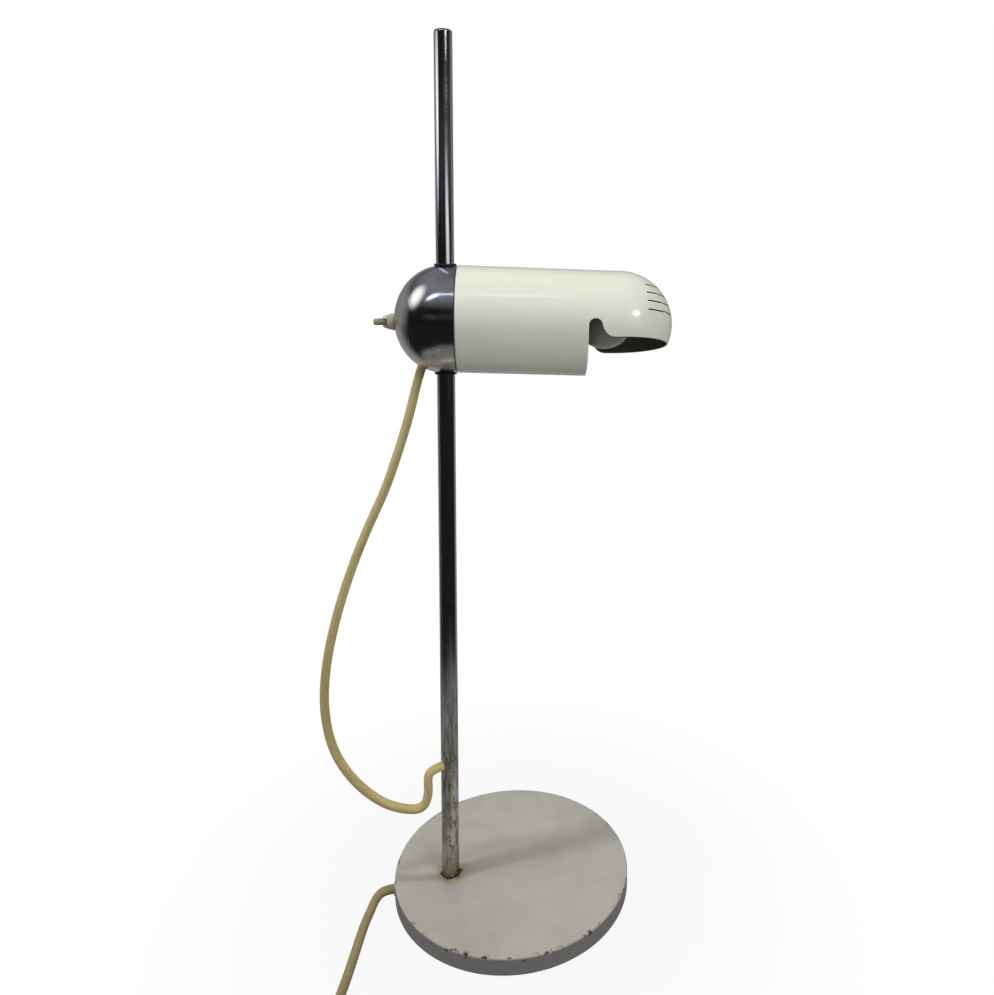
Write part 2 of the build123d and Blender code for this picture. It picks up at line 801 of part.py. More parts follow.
# Shade: the body with its turned-in collar, the swept notch, the flat cut and four slots
rear_hole = spigot_radius + slide_fit
shoulder_end = shade_start + shade_shoulder
collar_end = shade_start + 2 * shade_collar_length
nose = shade_straight_end + shade_radius
with BuildPart() as shade:
    with BuildSketch(head_side):
        with BuildLine():
            rear = Line((shade_start, rear_hole), (shade_start, shade_radius - shade_shoulder))
            shoulder = TangentArc(rear @ 1, (shoulder_end, shade_radius), tangent=(0, 1))
            collar = Line(shoulder @ 1, (collar_end, shade_radius))
            Line(collar @ 1, (collar_end, shade_bore))
            inner_collar = Line((collar_end, shade_bore), (shoulder_end, shade_bore))
            inner_rear = (shade_start + shade_wall, shade_radius - shade_shoulder)
            inner_shoulder = TangentArc(inner_collar @ 1, inner_rear, tangent=(-1, 0))
            Polyline(inner_shoulder @ 1, (shade_start + shade_wall, rear_hole), rear @ 0)
        make_face()
    revolve(axis=head_axis)
    split(bisect_by=droop_mitre, keep=Keep.BOTTOM)
    add(shade_body.part)
    with BuildSketch(shade_side):
        with BuildLine():
            notch_x = notch_start + notch_radius
            sweep_z = sweep_radius - cut_depth
            gap = notch_radius + sweep_radius
            notch_z = sweep_z - sqrt(gap**2 - (sweep_end - notch_x) ** 2)
            touch_x = notch_x + (sweep_end - notch_x) * notch_radius / gap
            touch_z = notch_z + (sweep_z - notch_z) * notch_radius / gap
            middle = radians(270 - degrees(atan2(sweep_end - notch_x, sweep_z - notch_z)) / 2)
            below = -2 * shade_radius
            Line((notch_start, below), (notch_start, notch_z))
            ThreePointArc((notch_start, notch_z), (notch_x, notch_z + notch_radius), (touch_x, touch_z))
            ThreePointArc(
                (touch_x, touch_z),
                (sweep_end + sweep_radius * cos(middle), sweep_z + sweep_radius * sin(middle)),
                (sweep_end, -cut_depth),
            )
            Polyline(
                (sweep_end, -cut_depth), (nose + 1, -cut_depth), (nose + 1, below), (notch_start, below)
            )
        make_face()
    extrude(amount=shade_radius + 1, both=True, mode=Mode.SUBTRACT)
    with BuildSketch(shade_across(slot_start)):
        for number in range(slot_count):
            with Locations((0, slot_low + number * slot_pitch)):
                Rectangle(3 * shade_radius, slot_width)
    extrude(amount=shade_radius, mode=Mode.SUBTRACT)
finish(shade, "shade")

# Mains cord on the table, chosen by hand from the rim to the coil
coil_pitch = cord_diameter + coil_gap
coil_low = cord_radius + tie_thickness + 0.1
mains_start_x = coil_x - coil_radius
mains_ahead = (cord_way_out[0] + 8.5 * channel_dx, cord_way_out[1] + 8.5 * channel_dy, cord_exit_height)
mains_route = [
    (-108.8, -18.4, 4.8),
    (-112.4, -28.8, 3.6),
    (-115.8, -40.5, 3.5),
    (-119.2, -55.0, 3.5),
    (-122.6, -73.0, 3.5),
    (-124.6, -93.0, 3.5),
    (-124.0, -114.0, 3.5),
    (-124.2, -134.0, 3.6),
    (mains_start_x, -151.0, coil_low),
]
mains_end = (mains_start_x, coil_y + cord_diameter, coil_low)
mains_cord, mains_length = cord_tube([cord_way_out, mains_ahead] + mains_route + [mains_end])
finish(mains_cord, "mains_cord")


# Coil: half turns that spiral in below, climb in one half turn, and spiral out on top
def coil_arcs():
    """Start points, middles and ends of the coil's arcs, and the end of the last."""
    arcs = []
    x, side, height = coil_x - coil_radius, 1, coil_low
    steps = list(range(coil_low_half_turns))
    outward = [coil_low_half_turns - 1 - n for n in range(coil_high_half_turns)]
    radii = [coil_radius - step * coil_pitch / 2 for step in steps]
    for radius in radii:
        middle = (x + side * radius, coil_y - side * radius, height)
        arcs.append(((x, coil_y, height), middle, (x + side * 2 * radius, coil_y, height)))
        x, side = x + side * 2 * radius, -side
    climb = coil_radius - coil_low_half_turns * coil_pitch / 2
    start = Vector(x, coil_y, height)
    end = Vector(x + side * 2 * climb, coil_y, height + coil_pitch)
    reach = (end - start).length / 2
    middle = (start + end) * 0.5 + Vector(0, -side * reach, 0)
    arcs.append((start, None, middle))
    arcs.append((middle, None, end))
    x, side, height = end.X, -side, end.Z
    for radius in [coil_radius - step * coil_pitch / 2 for step in outward]:
        middle = (x + side * radius, coil_y - side * radius, height)
        arcs.append(((x, coil_y, height), middle, (x + side * 2 * radius, coil_y, height)))
        x, side = x + side * 2 * radius, -side
    return arcs, Vector(x, coil_y, height)


arcs, coil_end = coil_arcs()
with BuildPart() as cord_coil:
    with BuildLine() as coil_path:
        last = Line(mains_end, (mains_start_x, coil_y, coil_low))
        for start, middle, end in arcs:
            if middle is None:
                last = TangentArc(start, end, tangent=last % 1)
            else:
                last = ThreePointArc(start, middle, end)
        last = Line(last @ 1, Vector(*(last @ 1)) + Vector(*(last % 1)) * cord_diameter)
    coil_wire = coil_path.wire()
    with BuildSketch(Plane(origin=coil_wire @ 0, z_dir=coil_wire % 0)):
        Circle(cord_radius)
    sweep(path=coil_wire)
finish(cord_coil, "cord_coil")
coil_length = coil_wire.length
coil_share = cord_coil.part.volume / (pi * cord_radius**2 * coil_length)
print(f"coil {coil_length:.0f} mm in the coil, volume share {coil_share:.4f}")


def least_self_gap(line, count=900, skip=40.0):
    """Least clear distance between two stretches of the same tube, from points on its line."""
    points = [line @ (n / count) for n in range(count + 1)]
    along = line.length / count
    ahead = int(skip / along)
    least = min(
        (points[a] - points[b]).length
        for a in range(0, count + 1)
        for b in range(a + ahead, count + 1)
    )
    return least - cord_diameter


print(f"coil's least gap to itself {least_self_gap(coil_wire):.2f} mm")

# Tail from the coil to the plug, and the plug lying beside the coil
tail_start = coil_wire @ 1
plug_axis = plug_thickness / 2
tail_route = [
    tuple(tail_start),
    (tail_start.X, tail_start.Y - tail_level_end, tail_start.Z),
    (tail_start.X, tail_start.Y - tail_drop_end, plug_axis),
    (tail_start.X, tail_start.Y - tail_end, plug_axis),
]
cord_tail, tail_length = cord_tube(tail_route)
finish(cord_tail, "cord_tail")
print(f"mains lead {mains_length + coil_length + tail_length:.0f} mm")

plug_start = Vector(*tail_route[-1])
plug_plane = Plane(origin=plug_start, x_dir=(1, 0, 0), z_dir=(0, -1, 0))
with BuildPart() as plug_relief:
    with BuildSketch(plug_plane):
        Circle(cord_radius + 0.8)
    with BuildSketch(plug_plane.offset(plug_relief_length)):
        Circle(plug_relief_radius)
    loft()
finish(plug_relief, "plug_relief")

with BuildPart() as plug_body:
    with BuildSketch(plug_plane.offset(plug_relief_length)):
        RectangleRounded(plug_width * 0.6, plug_thickness * 0.7, plug_thickness * 0.25)
    with BuildSketch(plug_plane.offset(plug_relief_length + plug_body_length)):
        RectangleRounded(plug_width, plug_thickness, plug_thickness * 0.3)
    loft()
finish(plug_body, "plug_body")

pin_start = plug_relief_length + plug_body_length
with BuildPart() as plug_pins:
    for side in (-1, 1):
        with BuildSketch(plug_plane.offset(pin_start)):
            with Locations((side * pin_spacing / 2, 0)):
                Circle(pin_radius)
        extrude(amount=pin_length)
    fillet(plug_pins.edges().group_by(Axis.Y)[0], radius=pin_radius * 0.6)
finish(plug_pins, "plug_pins")

# Tie round all the turns
tie_dx, tie_dy = cos(radians(tie_bearing)), sin(radians(tie_bearing))
tie_plane = Plane(
    origin=(coil_x + coil_pitch / 4, coil_y, 0), x_dir=(tie_dx, tie_dy, 0), z_dir=(tie_dy, -tie_dx, 0)
)
tie_in = coil_radius - coil_low_half_turns * coil_pitch / 2 - cord_radius - coil_pitch / 4 - tie_gap
tie_out = coil_radius + cord_radius + coil_pitch / 4 + tie_gap
tie_top = coil_low + coil_pitch + cord_radius + tie_gap + tie_thickness
with BuildPart() as cord_tie:
    with BuildSketch(tie_plane):
        with Locations(((tie_in + tie_out) / 2, tie_top / 2)):
            RectangleRounded(tie_out - tie_in + 2 * tie_thickness, tie_top, cord_radius * 0.8)
            inner_height = tie_top - 2 * tie_thickness
            RectangleRounded(tie_out - tie_in, inner_height, cord_radius * 0.7, mode=Mode.SUBTRACT)
    extrude(amount=tie_width / 2, both=True)
finish(cord_tie, "cord_tie")
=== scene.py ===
# %% [markdown]
# # A desk lamp with a cream shade, a chromed ball and a pole
#
# The solids of this lamp come ready from its CAD model, as one fixed frame. This notebook dresses
# them: it replaces the stiff solids of the cords with cords that hang, gives each piece its finish,
# and lights the lamp. We start by loading the frame.

import math

import bpy
from mathutils import Matrix, Vector


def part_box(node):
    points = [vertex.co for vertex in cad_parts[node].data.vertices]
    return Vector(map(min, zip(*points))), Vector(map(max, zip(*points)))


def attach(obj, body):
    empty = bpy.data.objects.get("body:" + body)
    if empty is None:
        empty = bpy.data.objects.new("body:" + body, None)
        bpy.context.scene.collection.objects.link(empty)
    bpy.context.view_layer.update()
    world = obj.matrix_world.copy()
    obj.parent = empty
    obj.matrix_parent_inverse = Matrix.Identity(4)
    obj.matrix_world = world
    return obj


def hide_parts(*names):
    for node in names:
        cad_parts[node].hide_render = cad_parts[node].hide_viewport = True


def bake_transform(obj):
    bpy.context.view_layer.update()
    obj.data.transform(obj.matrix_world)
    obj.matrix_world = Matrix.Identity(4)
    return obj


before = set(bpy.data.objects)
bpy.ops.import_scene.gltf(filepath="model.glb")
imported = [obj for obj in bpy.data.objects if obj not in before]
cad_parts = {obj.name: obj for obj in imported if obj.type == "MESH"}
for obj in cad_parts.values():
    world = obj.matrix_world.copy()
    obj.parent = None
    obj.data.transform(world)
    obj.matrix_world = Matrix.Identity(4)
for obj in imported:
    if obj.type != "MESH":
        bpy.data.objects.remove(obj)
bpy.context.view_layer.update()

# %% [markdown]
# ## The camera
#
# The photograph was taken from close by and a little above the shade, with the camera tipped down by
# only six degrees. That is why the base shows its top while the uprights stay nearly upright. The
# rest of the height comes from a shift of the picture, as in an architect's camera. The camera's
# place, its directions and its focal length were found by matching the lamp's outline, so they are
# numbers here and not something to work out.

# %% Camera at the photograph's place
CAMERA_PLACE = (0.0024, -0.6394, 0.5104)
LOOK_WAY = (0.0781, 0.9917, -0.1018)
RIGHT_WAY = (0.9969, -0.0777, 0.0070)
SENSOR_WIDTH, FOCAL_LENGTH = 36.0, 30.553
SHIFT_X, SHIFT_Y = -0.0844, -0.1629

camera_data = bpy.data.cameras.new("photo_camera")
camera_data.sensor_fit = "HORIZONTAL"
camera_data.sensor_width = SENSOR_WIDTH
camera_data.lens = FOCAL_LENGTH
camera_data.shift_x = SHIFT_X
camera_data.shift_y = SHIFT_Y
camera_data.clip_start = 0.01
camera = bpy.data.objects.new("photo_camera", camera_data)
bpy.context.scene.collection.objects.link(camera)
look = Vector(LOOK_WAY).normalized()
right = Vector(RIGHT_WAY).normalized()
up = right.cross(look).normalized()
right = look.cross(up).normalized()
turn = Matrix((right, up, -look)).transposed()
camera.matrix_world = Matrix.Translation(CAMERA_PLACE) @ turn.to_4x4()
bpy.context.scene.camera = camera
print("camera at", [round(c, 3) for c in camera.location])

# %% [markdown]
# ## Cords
#
# The lamp has two free cords: a loop from the ball to a hole low in the pole, and the mains lead
# from the rim of the base to the plug. Their points are written in millimetres, as in the CAD
# model, and MM turns them into metres. The loop's points are counted from the pole's axis, because
# the loop hangs from the pole, and the lead's points from the middle of the base.

# %% Sizes that the cords share
MM = 0.001
POLE_X, POLE_Y, POLE_R = -49.018, -6.889, 6.75
HEAD_Z = 458.0
CORD_D = 6.8
CORD_R = CORD_D / 2
HOLE_Z = 107.0
HOLE_BEARING = math.radians(209.5)
HOLE_DX, HOLE_DY = math.cos(HOLE_BEARING), math.sin(HOLE_BEARING)


def from_pole(x, y, z):
    """A point beside the pole, in the lamp's frame, still in millimetres."""
    return (POLE_X + x, POLE_Y + y, z)


def ahead_of_hole(out):
    """A point straight out of the pole's hole, that far from the pole's axis."""
    return from_pole(out * HOLE_DX, out * HOLE_DY, HOLE_Z)


print("pole's hole at", ahead_of_hole(POLE_R))

# %% [markdown]
# ### A cord's line
#
# A cord is a fixed length of something bendy, so its line is one smooth curve. A Bezier curve would
# need two handles at each point. A NURBS curve of order 3 needs none: it heads for each point and
# turns before it gets there, so a few given points make a curve without kinks. Its order
# is set after its points, because Blender lowers an order for which there are too few points.

# %% NURBS route, and the points along it
def nurbs_route(name, points_mm):
    """A curve object of one open NURBS spline, in metres."""
    data = bpy.data.curves.new(name, "CURVE")
    data.dimensions = "3D"
    data.resolution_u = 8
    spline = data.splines.new("NURBS")
    spline.points.add(len(points_mm) - 1)
    for point, place in zip(spline.points, points_mm):
        point.co = (place[0] * MM, place[1] * MM, place[2] * MM, 1.0)
    spline.order_u = 3
    spline.use_endpoint_u = True
    obj = bpy.data.objects.new(name, data)
    bpy.context.scene.collection.objects.link(obj)
    return obj


def centre_line(route):
    """Points along a route that has no thickness yet."""
    bpy.context.view_layer.update()
    mesh = bpy.data.meshes.new_from_object(route)
    line = [vertex.co.copy() for vertex in mesh.vertices]
    bpy.data.meshes.remove(mesh)
    return line


def line_length(line):
    """Length of a line of points."""
    return sum((b - a).length for a, b in zip(line, line[1:]))


print("route maker ready")

# %% [markdown]
# ### A tube round the line
#
# The curve could be given a round bevel, but the UVs of its surface would run from 0 to 1 on a short
# cord and on a long one, and streaks that follow them would be longer on the long one. So the tube
# is made as a mesh, with UVs in metres: a ring of corners at each point of the line, square to it,
# and carried on from ring to ring without a twist.

# %% Rings and faces of a tube
def tube_rings(line, radius, sides):
    """Corners of the rings round a line, and how far along it each ring is."""
    last = len(line) - 1
    ways = [(line[min(n + 1, last)] - line[max(n - 1, 0)]).normalized() for n in range(last + 1)]
    side = ways[0].orthogonal().normalized()
    corners, along = [], [0.0]
    for n, centre in enumerate(line):
        if n:
            along.append(along[-1] + (centre - line[n - 1]).length)
            side = (side - ways[n] * side.dot(ways[n])).normalized()
        other = ways[n].cross(side)
        for k in range(sides):
            angle = 2 * math.pi * k / sides
            corners.append(centre + radius * (side * math.cos(angle) + other * math.sin(angle)))
    return corners, along


def tube_faces(rings, sides):
    """Four-sided faces between neighbouring rings, and one face that closes each end."""
    faces = []
    for n in range(rings - 1):
        for k in range(sides):
            a, b = n * sides + k, n * sides + (k + 1) % sides
            faces.append((a, b, b + sides, a + sides))
    faces.append(tuple(reversed(range(sides))))
    faces.append(tuple(range((rings - 1) * sides, rings * sides)))
    return faces


print("ring maker ready")

# %% Tube mesh with lengthwise UVs
def tube_mesh(name, line, radius, sides):
    """A closed tube with UVs in metres: the first goes round it, the second along it."""
    corners, along = tube_rings(line, radius, sides)
    mesh = bpy.data.meshes.new(name)
    mesh.from_pydata([tuple(corner) for corner in corners], [], tube_faces(len(line), sides))
    layer = mesh.uv_layers.new(name="UVMap")
    for polygon in mesh.polygons:
        is_wall = len(polygon.vertices) == 4
        for turn_index, loop_index in enumerate(polygon.loop_indices):
            ring, k = divmod(mesh.loops[loop_index].vertex_index, sides)
            if is_wall and k == 0 and turn_index in (1, 2):
                k = sides
            layer.data[loop_index].uv = (k / sides * 2 * math.pi * radius, along[ring])
        polygon.use_smooth = is_wall
    end_rings = ({0}, {len(line) - 1})
    for edge in mesh.edges:
        if {vertex // sides for vertex in edge.vertices} in end_rings:
            edge.use_edge_sharp = True
    mesh.update()
    obj = bpy.data.objects.new(name, mesh)
    bpy.context.scene.collection.objects.link(obj)
    return obj


def cord_along(name, points_mm, sides=20, backwards=False):
    """A cord's tube, and the line that it follows."""
    route = nurbs_route(name + "_route", points_mm)
    line = centre_line(route)
    bpy.data.objects.remove(route)
    if backwards:
        line.reverse()
    return tube_mesh(name, line, CORD_R * MM, sides), line


print("tube maker ready")

# %% [markdown]
# ### The loop from the ball to the pole
#
# The loop crosses two joints, because the ball slides and turns on the pole while the hole stays
# where it is. So it is made as two cords that meet end to end at JOIN. The lower cord's last points
# make the kink that an old cord keeps where it was bent up to its hole for years.

# %% Control points of the lower cord
JOIN = from_pole(-35.6, -1.5, 359.5)
BESIDE_POLE = [
    (-41.3, -1.9, 342.0),
    (-48.2, -2.5, 324.0),
    (-62.9, -3.5, 292.5),
    (-75.5, -5.0, 258.8),
    (-85.6, -6.5, 225.0),
    (-92.4, -8.0, 191.2),
    (-94.0, -9.3, 160.0),
    (-88.2, -10.0, 128.0),
    (-73.0, -10.3, 102.5),
    (-52.8, -10.4, 84.2),
    (-35.0, -10.2, 77.2),
    (-20.2, -9.9, 76.4),
    (-15.4, -9.5, 88.0),
    (-16.4, -9.3, 103.0),
]
lower_points = [JOIN]
lower_points += [from_pole(*place) for place in BESIDE_POLE]
lower_points += [ahead_of_hole(14.5), ahead_of_hole(POLE_R)]
print(len(lower_points), "points in the lower cord")

# %% Lower cord: from the pole's hole round the loop
loop_lower, lower_line = cord_along("loop_cord_lower", lower_points, backwards=True)
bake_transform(loop_lower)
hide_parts("cord_lower")
print("lower loop", round(line_length(lower_line), 4), "m")

# %% [markdown]
# The upper cord leaves the ball's underside at a slant, almost straight for a diameter and a half,
# because a cord can't turn inside its hole.

# %% Upper cord: out of the ball's underside
EXIT_SLOPE = math.radians(18.0)
BALL_EXIT = from_pole(-17.9, 0.0, HEAD_Z - 35.8)
TAIL_INSIDE = 7.0


def below_ball(distance):
    """A point on the axis of the ball's cord hole, distance below its mouth."""
    x, y, z = BALL_EXIT
    return (x - distance * math.sin(EXIT_SLOPE), y, z - distance * math.cos(EXIT_SLOPE))


upper_points = [
    below_ball(-TAIL_INSIDE),
    below_ball(1.6 * CORD_D),
    from_pole(-25.3, -0.7, 394.6),
    from_pole(-29.9, -1.1, 377.0),
    JOIN,
]
loop_upper, upper_line = cord_along("loop_cord_upper", upper_points)
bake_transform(loop_upper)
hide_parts("cord_upper")
print("upper loop", round(line_length(upper_line), 4), "m")

# %% [markdown]
# ### The mains lead
#
# The photograph shows the lead's first stretch, from the rim of the base towards us and out of the
# picture. Such a lamp has about 1.8 m of lead, so the rest is put away as a neat coil with a tie,
# and the plug lies beside it. The coil is a spiral of half turns: it winds inward on the table,
# climbs onto itself in one half turn, and winds outward on top.

# %% Control points of the coil
COIL_X, COIL_Y, COIL_R = -73.0, -176.0, 51.5
COIL_GAP, TABLE_GAP = 0.45, 0.7
COIL_PITCH = CORD_D + COIL_GAP
COIL_LOW = CORD_R + TABLE_GAP
LOW_HALF_TURNS, HIGH_HALF_TURNS = 6, 5
POINTS_PER_HALF = 8


def coil_points():
    """Corners of a many-sided spiral that the round coil touches from inside, and its end."""
    points = []
    x, side, height = COIL_X - COIL_R, 1, COIL_LOW
    rings = list(range(LOW_HALF_TURNS + 1))
    rings += [LOW_HALF_TURNS - 1 - n for n in range(HIGH_HALF_TURNS)]
    for index, ring in enumerate(rings):
        radius = COIL_R - ring * COIL_PITCH / 2
        centre = x + side * radius
        reach = radius / math.cos(math.pi / (2 * POINTS_PER_HALF))
        for n in range(POINTS_PER_HALF):
            share = (n + 0.5) / POINTS_PER_HALF
            angle = math.pi * share
            lift = height
            if index == LOW_HALF_TURNS:
                lift += COIL_PITCH * share
            px = centre - side * reach * math.cos(angle)
            py = COIL_Y - side * reach * math.sin(angle)
            points.append((px, py, lift))
        if index == LOW_HALF_TURNS:
            height += COIL_PITCH
        x, side = x + side * 2 * radius, -side
    return points, (x, COIL_Y, height)


coil, coil_end = coil_points()
print(len(coil), "points in the coil")

# %% Control points of the whole lead
RIM_EXIT = (-93.1, -11.43, 6.6)
PLUG_Z = 9.0
LEVEL_END, DROP_END, TAIL_END = 8.0, 18.0, 26.0
lead_points = [
    RIM_EXIT,
    (-101.54, -12.45, 6.6),
    (-106.4, -19.0, 4.6),
    (-108.4, -28.8, 3.5),
    (-110.6, -40.5, 3.5),
    (-112.0, -55.0, 3.5),
    (-113.4, -73.0, 3.5),
    (-115.2, -93.0, 3.5),
    (-118.0, -114.0, 3.5),
    (-122.4, -134.0, 3.6),
    (COIL_X - COIL_R, -151.0, COIL_LOW),
    (COIL_X - COIL_R, COIL_Y + CORD_D, COIL_LOW),
]
lead_points += coil
tail_x, tail_y, tail_z = coil_end
lead_points += [
    (tail_x, tail_y - CORD_D, tail_z),
    (tail_x, tail_y - CORD_D - LEVEL_END, tail_z),
    (tail_x, tail_y - CORD_D - DROP_END, PLUG_Z),
    (tail_x, tail_y - CORD_D - TAIL_END, PLUG_Z),
]
print(len(lead_points), "points in the lead")

# %% Mains lead: from the rim through the coil to the plug
mains_lead, lead_line = cord_along("mains_lead", lead_points, sides=16)
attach(mains_lead, "stand")
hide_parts("mains_cord", "cord_coil", "cord_tail")
print("mains lead", round(line_length(lead_line), 3), "m")

# %% [markdown]
# ## Small tools for materials
#
# A finish is a Principled shader with patterns fed into it, and a pattern is a small tree of nodes.
# Adding nodes one by one takes many lines, so a few short functions do it: put adds any node, and
# the others add the kinds that come up again and again. A Mix node has sockets of the same name for
# numbers, vectors and colours, so those for colours are found by their place in the list.

# %% Add a node, and feed its inputs
def feed(tree, node, values):
    """Set the inputs of a node, or link them where a value is another node's socket."""
    for key, value in values.items():
        if isinstance(value, bpy.types.NodeSocket):
            tree.links.new(value, node.inputs[key])
        else:
            node.inputs[key].default_value = value


def put(tree, kind, values=None, **settings):
    """Add a node, set its options, and feed its inputs."""
    node = tree.nodes.new(kind)
    for key, value in settings.items():
        setattr(node, key, value)
    feed(tree, node, values or {})
    return node


def parts_of(tree, vector):
    """The three parts of a vector, as outputs named X, Y and Z."""
    return put(tree, "ShaderNodeSeparateXYZ", {"Vector": vector}).outputs


def length_of(tree, vector):
    """The length of a vector."""
    return put(tree, "ShaderNodeVectorMath", {0: vector}, operation="LENGTH").outputs["Value"]


print("node makers ready")

# %% Sums, products, ramps and mixed colours
MIX_FIRST, MIX_SECOND, MIX_RESULT = 6, 7, 2


def maths(tree, operation, first, second, clamp=False):
    """What a Math node makes of two values."""
    values = {0: first, 1: second}
    return put(tree, "ShaderNodeMath", values, operation=operation, use_clamp=clamp).outputs[0]


def times(tree, first, second):
    """The product of two values."""
    return maths(tree, "MULTIPLY", first, second)


def root(tree, value):
    """The square root of a value."""
    return put(tree, "ShaderNodeMath", {0: value}, operation="SQRT").outputs[0]


def ramp(tree, value, low, high, to_low=0.0, to_high=1.0):
    """Map low..high smoothly to to_low..to_high."""
    values = {"Value": value, "From Min": low, "From Max": high, "To Min": to_low, "To Max": to_high}
    return put(tree, "ShaderNodeMapRange", values, interpolation_type="SMOOTHSTEP").outputs["Result"]


def blend_colour(tree, factor, first, second):
    """The first colour where the factor is 0, the second where it is 1."""
    values = {"Factor": factor}
    for key, colour in ((MIX_FIRST, first), (MIX_SECOND, second)):
        values[key] = colour if isinstance(colour, bpy.types.NodeSocket) else (*colour, 1.0)
    return put(tree, "ShaderNodeMix", values, data_type="RGBA").outputs[MIX_RESULT]


def cover(tree, under, mask, share, colour):
    """Lay a colour over another where the mask is, and as thickly as share says."""
    return blend_colour(tree, times(tree, mask, share), under, colour)


print("value makers ready")

# %% [markdown]
# ### Patterns that many finishes share
#
# Chips, pits, dust and dirt are all scattered specks of different sizes, and uneven colour and
# gloss are soft clouds. Each of the two patterns is one shader node group with named inputs, built
# once and used by every material with its own values. A group gives out only a value, and each
# material decides what to do with it. Specks come from two noises: a cloudy one decides where they
# gather, and a cellular one makes their edges ragged.

# %% Node group with named sockets
def new_group(name, inputs, output):
    """A shader node group, and its input and output nodes. Every group reads a Vector."""
    tree = bpy.data.node_groups.new(name, "ShaderNodeTree")
    tree.interface.new_socket(name="Vector", in_out="INPUT", socket_type="NodeSocketVector")
    for label, value in inputs.items():
        socket = tree.interface.new_socket(name=label, in_out="INPUT", socket_type="NodeSocketFloat")
        socket.default_value = value
    tree.interface.new_socket(name=output, in_out="OUTPUT", socket_type="NodeSocketFloat")
    return tree, tree.nodes.new("NodeGroupInput").outputs, tree.nodes.new("NodeGroupOutput")


print("group maker ready")

# %% Shared group: scattered specks
LEVEL_WITHOUT_COVER, LEVEL_PER_COVER = 0.75, 0.5
RAGGED_DEPTH, EDGE_SHARPNESS = 0.25, 40.0
specks, given, made = new_group("specks", {"Size": 0.002, "Cover": 0.2, "Ragged": 0.5}, "Mask")
scale = maths(specks, "DIVIDE", 1.0, given["Size"])
noise = put(
    specks,
    "ShaderNodeTexNoise",
    {"Vector": given["Vector"], "Scale": scale, "Detail": 5.0, "Roughness": 0.65},
)
cells = put(
    specks,
    "ShaderNodeTexVoronoi",
    {"Vector": given["Vector"], "Scale": scale, "Randomness": 1.0},
)
ragged = times(specks, cells.outputs["Distance"], given["Ragged"])
height = maths(specks, "SUBTRACT", noise.outputs["Fac"], times(specks, ragged, RAGGED_DEPTH))
level = times(specks, given["Cover"], LEVEL_PER_COVER)
level = maths(specks, "SUBTRACT", LEVEL_WITHOUT_COVER, level)
above = maths(specks, "SUBTRACT", height, level)
feed(specks, made, {"Mask": maths(specks, "MULTIPLY", above, EDGE_SHARPNESS, clamp=True)})
print("group:", specks.name)

# %% Shared group: soft clouds
NOISE_LOW, NOISE_HIGH = 0.25, 0.75
clouds, given, made = new_group("clouds", {"Size": 0.03, "Low": 0.0, "High": 1.0}, "Value")
scale = maths(clouds, "DIVIDE", 1.0, given["Size"])
noise = put(
    clouds,
    "ShaderNodeTexNoise",
    {"Vector": given["Vector"], "Scale": scale, "Detail": 3.0, "Roughness": 0.5},
)
spread = ramp(clouds, noise.outputs["Fac"], NOISE_LOW, NOISE_HIGH, given["Low"], given["High"])
feed(clouds, made, {"Value": spread})
print("group:", clouds.name)

# %% [markdown]
# ### Starting a material
#
# Patterns read Object coordinates, apart from the streaks on the cords. These coordinates are in
# metres on each piece, so a speck of two millimetres is 0.002 on all of them, and they move with
# the piece, so the paint doesn't swim when the shade turns. Bump gives fine unevenness without more
# faces.

# %% Start a material, use a group, add a bump
def new_material(name):
    """A material with its Principled shader and its Object coordinates."""
    material = bpy.data.materials.new(name)
    material.use_nodes = True
    tree = material.node_tree
    shader = tree.nodes["Principled BSDF"]
    place = tree.nodes.new("ShaderNodeTexCoord").outputs["Object"]
    return material, tree, shader, place


def use_group(tree, group, place, **values):
    """What a shared group makes of a place, with this material's own values."""
    return put(tree, "ShaderNodeGroup", {"Vector": place, **values}, node_tree=group).outputs[0]


def cloud_of(tree, place, size):
    """Soft clouds from 0 to 1."""
    return use_group(tree, clouds, place, Size=size, Low=0.0, High=1.0)


def bumped(tree, shader, height, strength, depth):
    """Feed a height into the shader's normal."""
    bump = put(tree, "ShaderNodeBump", {"Height": height, "Strength": strength, "Distance": depth})
    feed(tree, shader, {"Normal": bump.outputs["Normal"]})


def paint_nodes(material, *names):
    """Give CAD nodes this material."""
    for name in names:
        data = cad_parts[name].data
        data.materials.clear()
        data.materials.append(material)
        for polygon in data.polygons:
            polygon.material_index = 0
    print("painted:", material.name, "on", ", ".join(names))


print("material makers ready")

# %% [markdown]
# ## Cream enamel on the shade
#
# The shade wears a thick stoved enamel, slightly green, with a soft gloss and the faint waviness
# of sprayed paint. Its inside is bare and dark. The inside could be its own material, but the shade
# is one CAD node with loose triangles, so inside and outside are told apart by place: the wall is
# one millimetre thick, and a point is inside if it is nearer to the shade's axis than the middle of
# the wall. In the round nose, the distance is taken from the nose's centre.

# %% How far a point of the shade is from its axis
DROOP = math.radians(1.75)
BODY_START = 11.7
NOSE_CENTRE = 118.3
WALL_MIDDLE, WALL_EDGE = 39.5, 0.15

